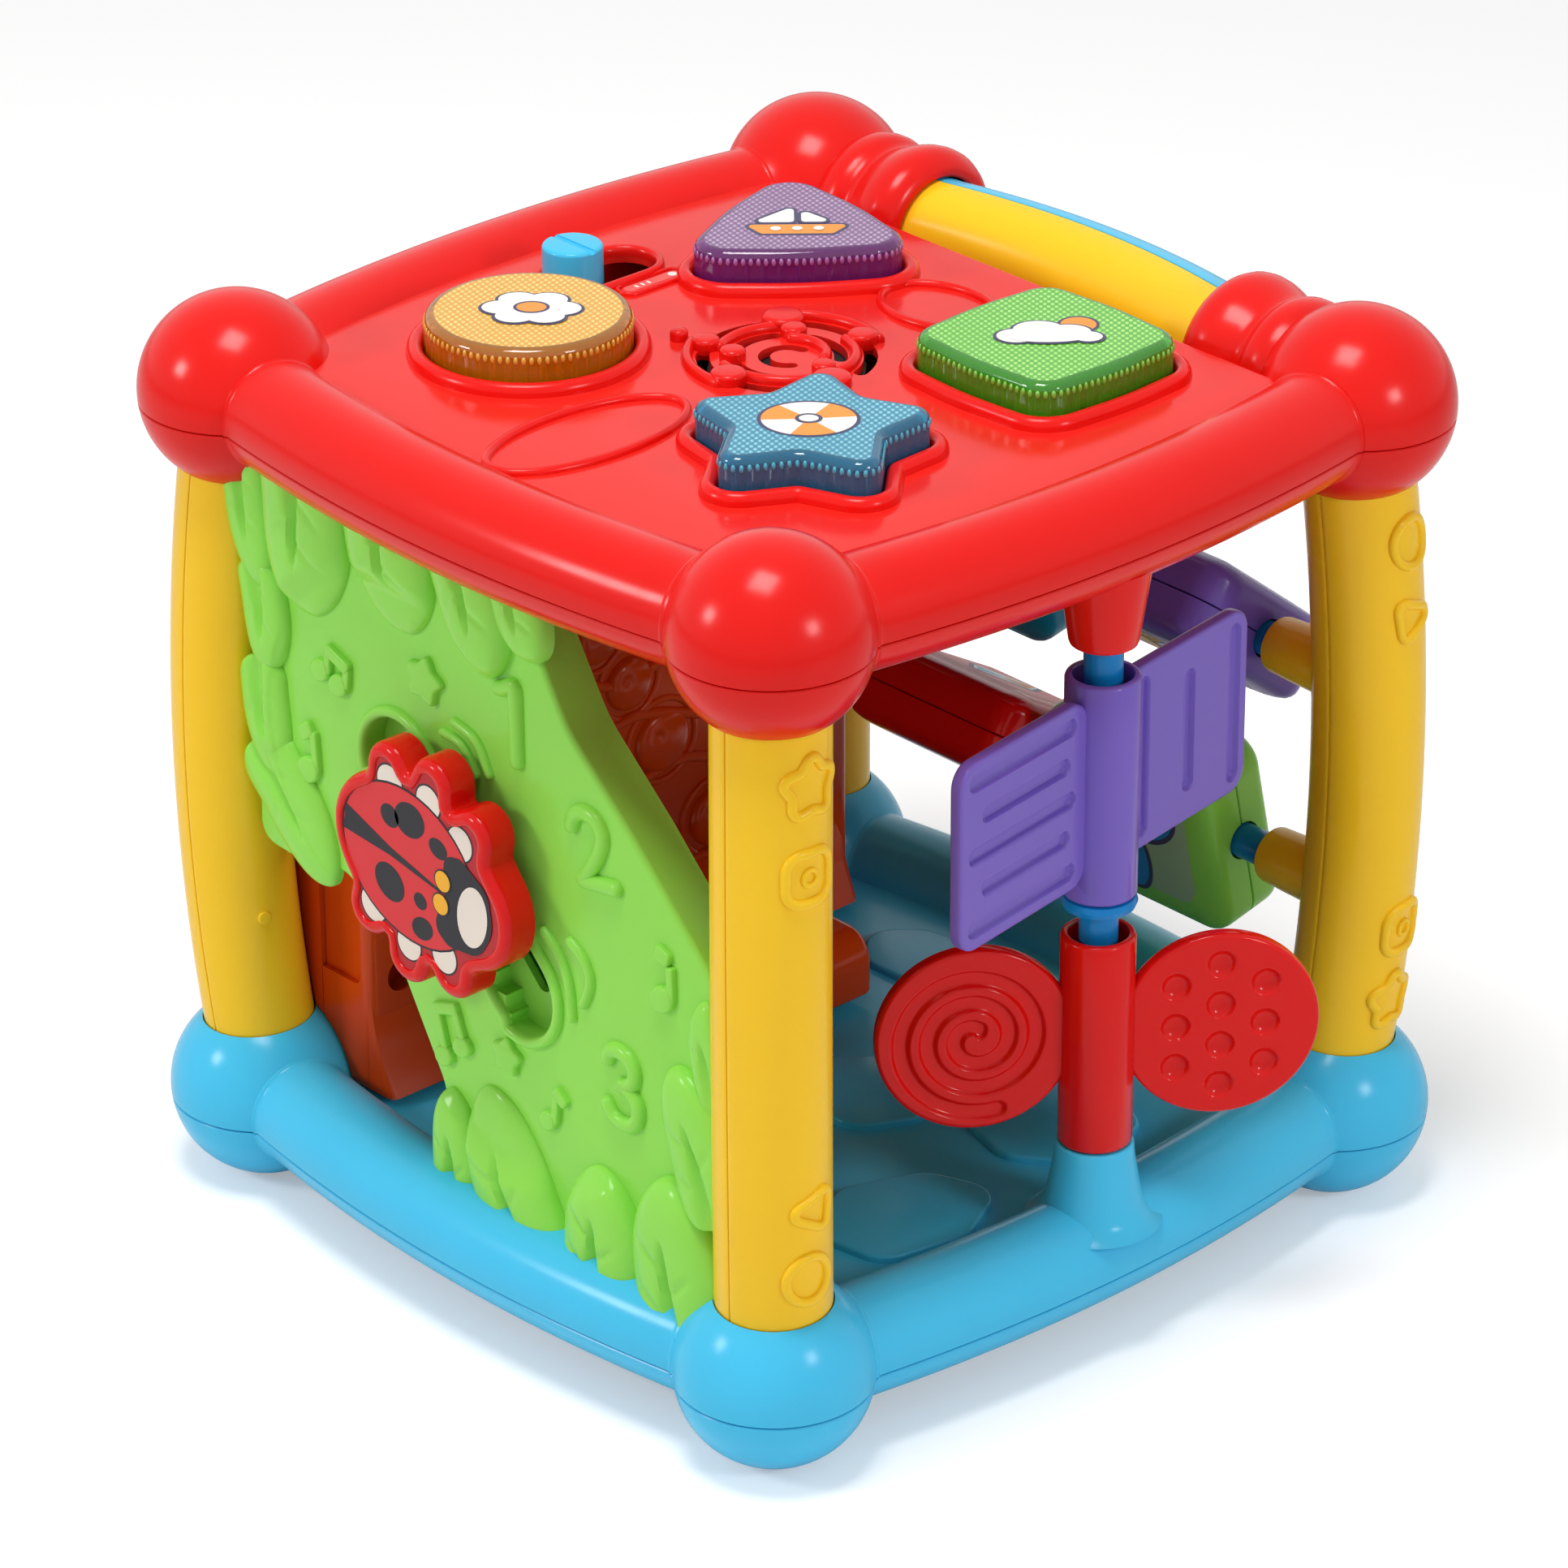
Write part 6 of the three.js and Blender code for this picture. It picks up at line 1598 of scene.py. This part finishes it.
printSize = 1.55
paper = evenly(roundedOutline(rectangle(-21.5, -18, 21.5, 18, 6), 8), 1.5)
blockPrints = {"teal": (starMotif, "#58b4cc"), "purple": (moonMotif, "#a797d4"),
               "red": (kiteMotif, "#cf3a38"), "green": (leafMotif, "#a9c99a")}
for name, x, z, turn, material in flipBlocks:
    motif, ground = blockPrints[name]
    # polypropylene label, moulded in: a paler ground with a satin face
    film = "labelFilm" + name.title()
    moulded(film, ground, 0.34, flow=0.05, peelMm=0.8, peelDepth=0.003, glow=0)
    put = onBlockAt(x, z, turn)
    for side, word in ((1, "Outer"), (-1, "Inner")):
        makePiece(name + "Label" + word, labelForm(paper, side, put, 0, 14), film, name + "_block")

        def onBlock(outline, level):
            return labelForm([(printSize * u, printSize * v) for u, v in evenly(outline, 0.8)], side, put,
                             1 + level)
        motifPieces(name + "Print" + word, motif(), onBlock, name + "_block")
print("labels made")


# Zinc-plated steel: bright, slightly yellow and brushed by its rolling.
def plated(name, colour, roughness):
    tree, shader, place = newMaterial(name, {"Metallic": 1.0})
    grain, base = noise(tree, place, 1.2, 3.0), linear(colour)
    colourBetween(tree, shader, grain, scaled(base, 0.9), base)
    tree.links.new(ramp(tree, grain, 0.3, 0.7, roughness * 0.8, roughness * 1.2), shader.inputs["Roughness"])


# What stays as it was packed gets the finish of what it is.
plated("platedSteel", "#c9c6bd", 0.3)
# lacquered board: a glassy green film over the copper
moulded("solderMask", "#1f6b3c", 0.35, flow=0.1, peelMm=1.0, peelDepth=0.02, glow=0)
moulded("mouldedAbsBlack", "#202226", 0.5, glow=0)
finishes = {"green_panel": "mouldedAbsGreen", "slider_carriage": "mouldedAcetalWhite",
            "battery_door": "mouldedAbsRed", "circuit": "solderMask", "speaker": "mouldedAbsBlack",
            "battery": "platedSteel", "dome": "siliconeWhite"}
for name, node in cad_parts.items():
    chosen = next((material for word, material in finishes.items() if word in name), None)
    if chosen and not node.hide_render:
        node.data.materials.clear()
        node.data.materials.append(mats[chosen])
        shade(node)
print("inner parts finished")


# The stage: a pale floor, a white world and soft lamps.
stage = {"focalMm": 158.73, "eye": (1128.996, -1048.310, 888.47), "azimuth": 47.5318, "elevation": 26.6947,
         "roll": 0.2395, "worldOnSurfaces": 0.36, "paperLift": 0.32, "floorReach": 4}


def lamp(name, place, target, size, watts):
    data = bpy.data.lights.new(name, "AREA")
    data.shape, data.size, data.size_y, data.energy = "RECTANGLE", size, size, watts
    light = bpy.data.objects.new(name, data)
    light.location = place
    light.rotation_euler = (Vector(target) - Vector(place)).to_track_quat("-Z", "Y").to_euler()
    bpy.context.scene.collection.objects.link(light)


def setStage():
    eye = bpy.data.cameras.new("eye")
    eye.sensor_width, eye.lens, eye.clip_start, eye.clip_end = 36, stage["focalMm"], 0.1, 20
    camera = bpy.data.objects.new("eye", eye)
    azimuth, elevation = math.radians(stage["azimuth"]), math.radians(stage["elevation"])
    look = Vector((-math.sin(azimuth) * math.cos(elevation), math.cos(azimuth) * math.cos(elevation),
                   -math.sin(elevation)))
    turn = look.to_track_quat("-Z", "Y").to_matrix().to_4x4() @ Matrix.Rotation(math.radians(-stage["roll"]),
                                                                                4, "Z")
    camera.matrix_world = Matrix.Translation(Vector(stage["eye"]) * mm) @ turn
    bpy.context.scene.collection.objects.link(camera)
    bpy.context.scene.camera = camera

    bpy.context.scene.world = bpy.data.worlds.new("studio")
    tree = emptyTree(bpy.context.scene.world)
    path = addNode(tree, "ShaderNodeLightPath")
    seen = maths(tree, "MAXIMUM", path.outputs["Is Camera Ray"], path.outputs["Is Glossy Ray"])
    seen = maths(tree, "MAXIMUM", seen, path.outputs["Is Transmission Ray"])
    strength = ramp(tree, seen, 0, 1, stage["worldOnSurfaces"], 1.0)
    light = addNode(tree, "ShaderNodeBackground", inputs={"Color": (1, 1, 1, 1), "Strength": strength})
    addNode(tree, "ShaderNodeOutputWorld", inputs={"Surface": light.outputs[0]})

    reach = stage["floorReach"]
    ground = bpy.data.meshes.new("floor")
    ground.from_pydata([(-reach, -reach, 0), (reach, -reach, 0), (reach, reach, 0), (-reach, reach, 0)], [],
                       [(0, 1, 2, 3)])
    floor = bpy.data.objects.new("floor", ground)
    bpy.context.scene.collection.objects.link(floor)
    # matt white studio paper, a little brighter to the camera, so that only the shadow shows on it
    paper = bpy.data.materials.new("mattPaper")
    tree = emptyTree(paper)
    body = addNode(tree, "ShaderNodeBsdfDiffuse", inputs={"Color": (0.9, 0.9, 0.9, 1)})
    path = addNode(tree, "ShaderNodeLightPath")
    lift = ramp(tree, path.outputs["Is Camera Ray"], 0, 1, 0.0, stage["paperLift"])
    white = addNode(tree, "ShaderNodeEmission", inputs={"Color": (1, 1, 1, 1), "Strength": lift})
    both = addNode(tree, "ShaderNodeAddShader", inputs={0: body.outputs[0], 1: white.outputs[0]})
    addNode(tree, "ShaderNodeOutputMaterial", inputs={"Surface": both.outputs[0]})
    ground.materials.append(paper)

    lamp("overhead", (0.1, -0.3, 1.5), (0, 0, 0.1), 0.5, 12.5)
    lamp("leftFront", (-0.7, -1.3, 0.85), (0, 0, 0.12), 0.3, 6.5)
    lamp("rightFront", (1.4, 0.1, 0.8), (0, 0, 0.12), 0.28, 5)


setStage()
bpy.context.scene.view_settings.view_transform = "Standard"
print("stage set")
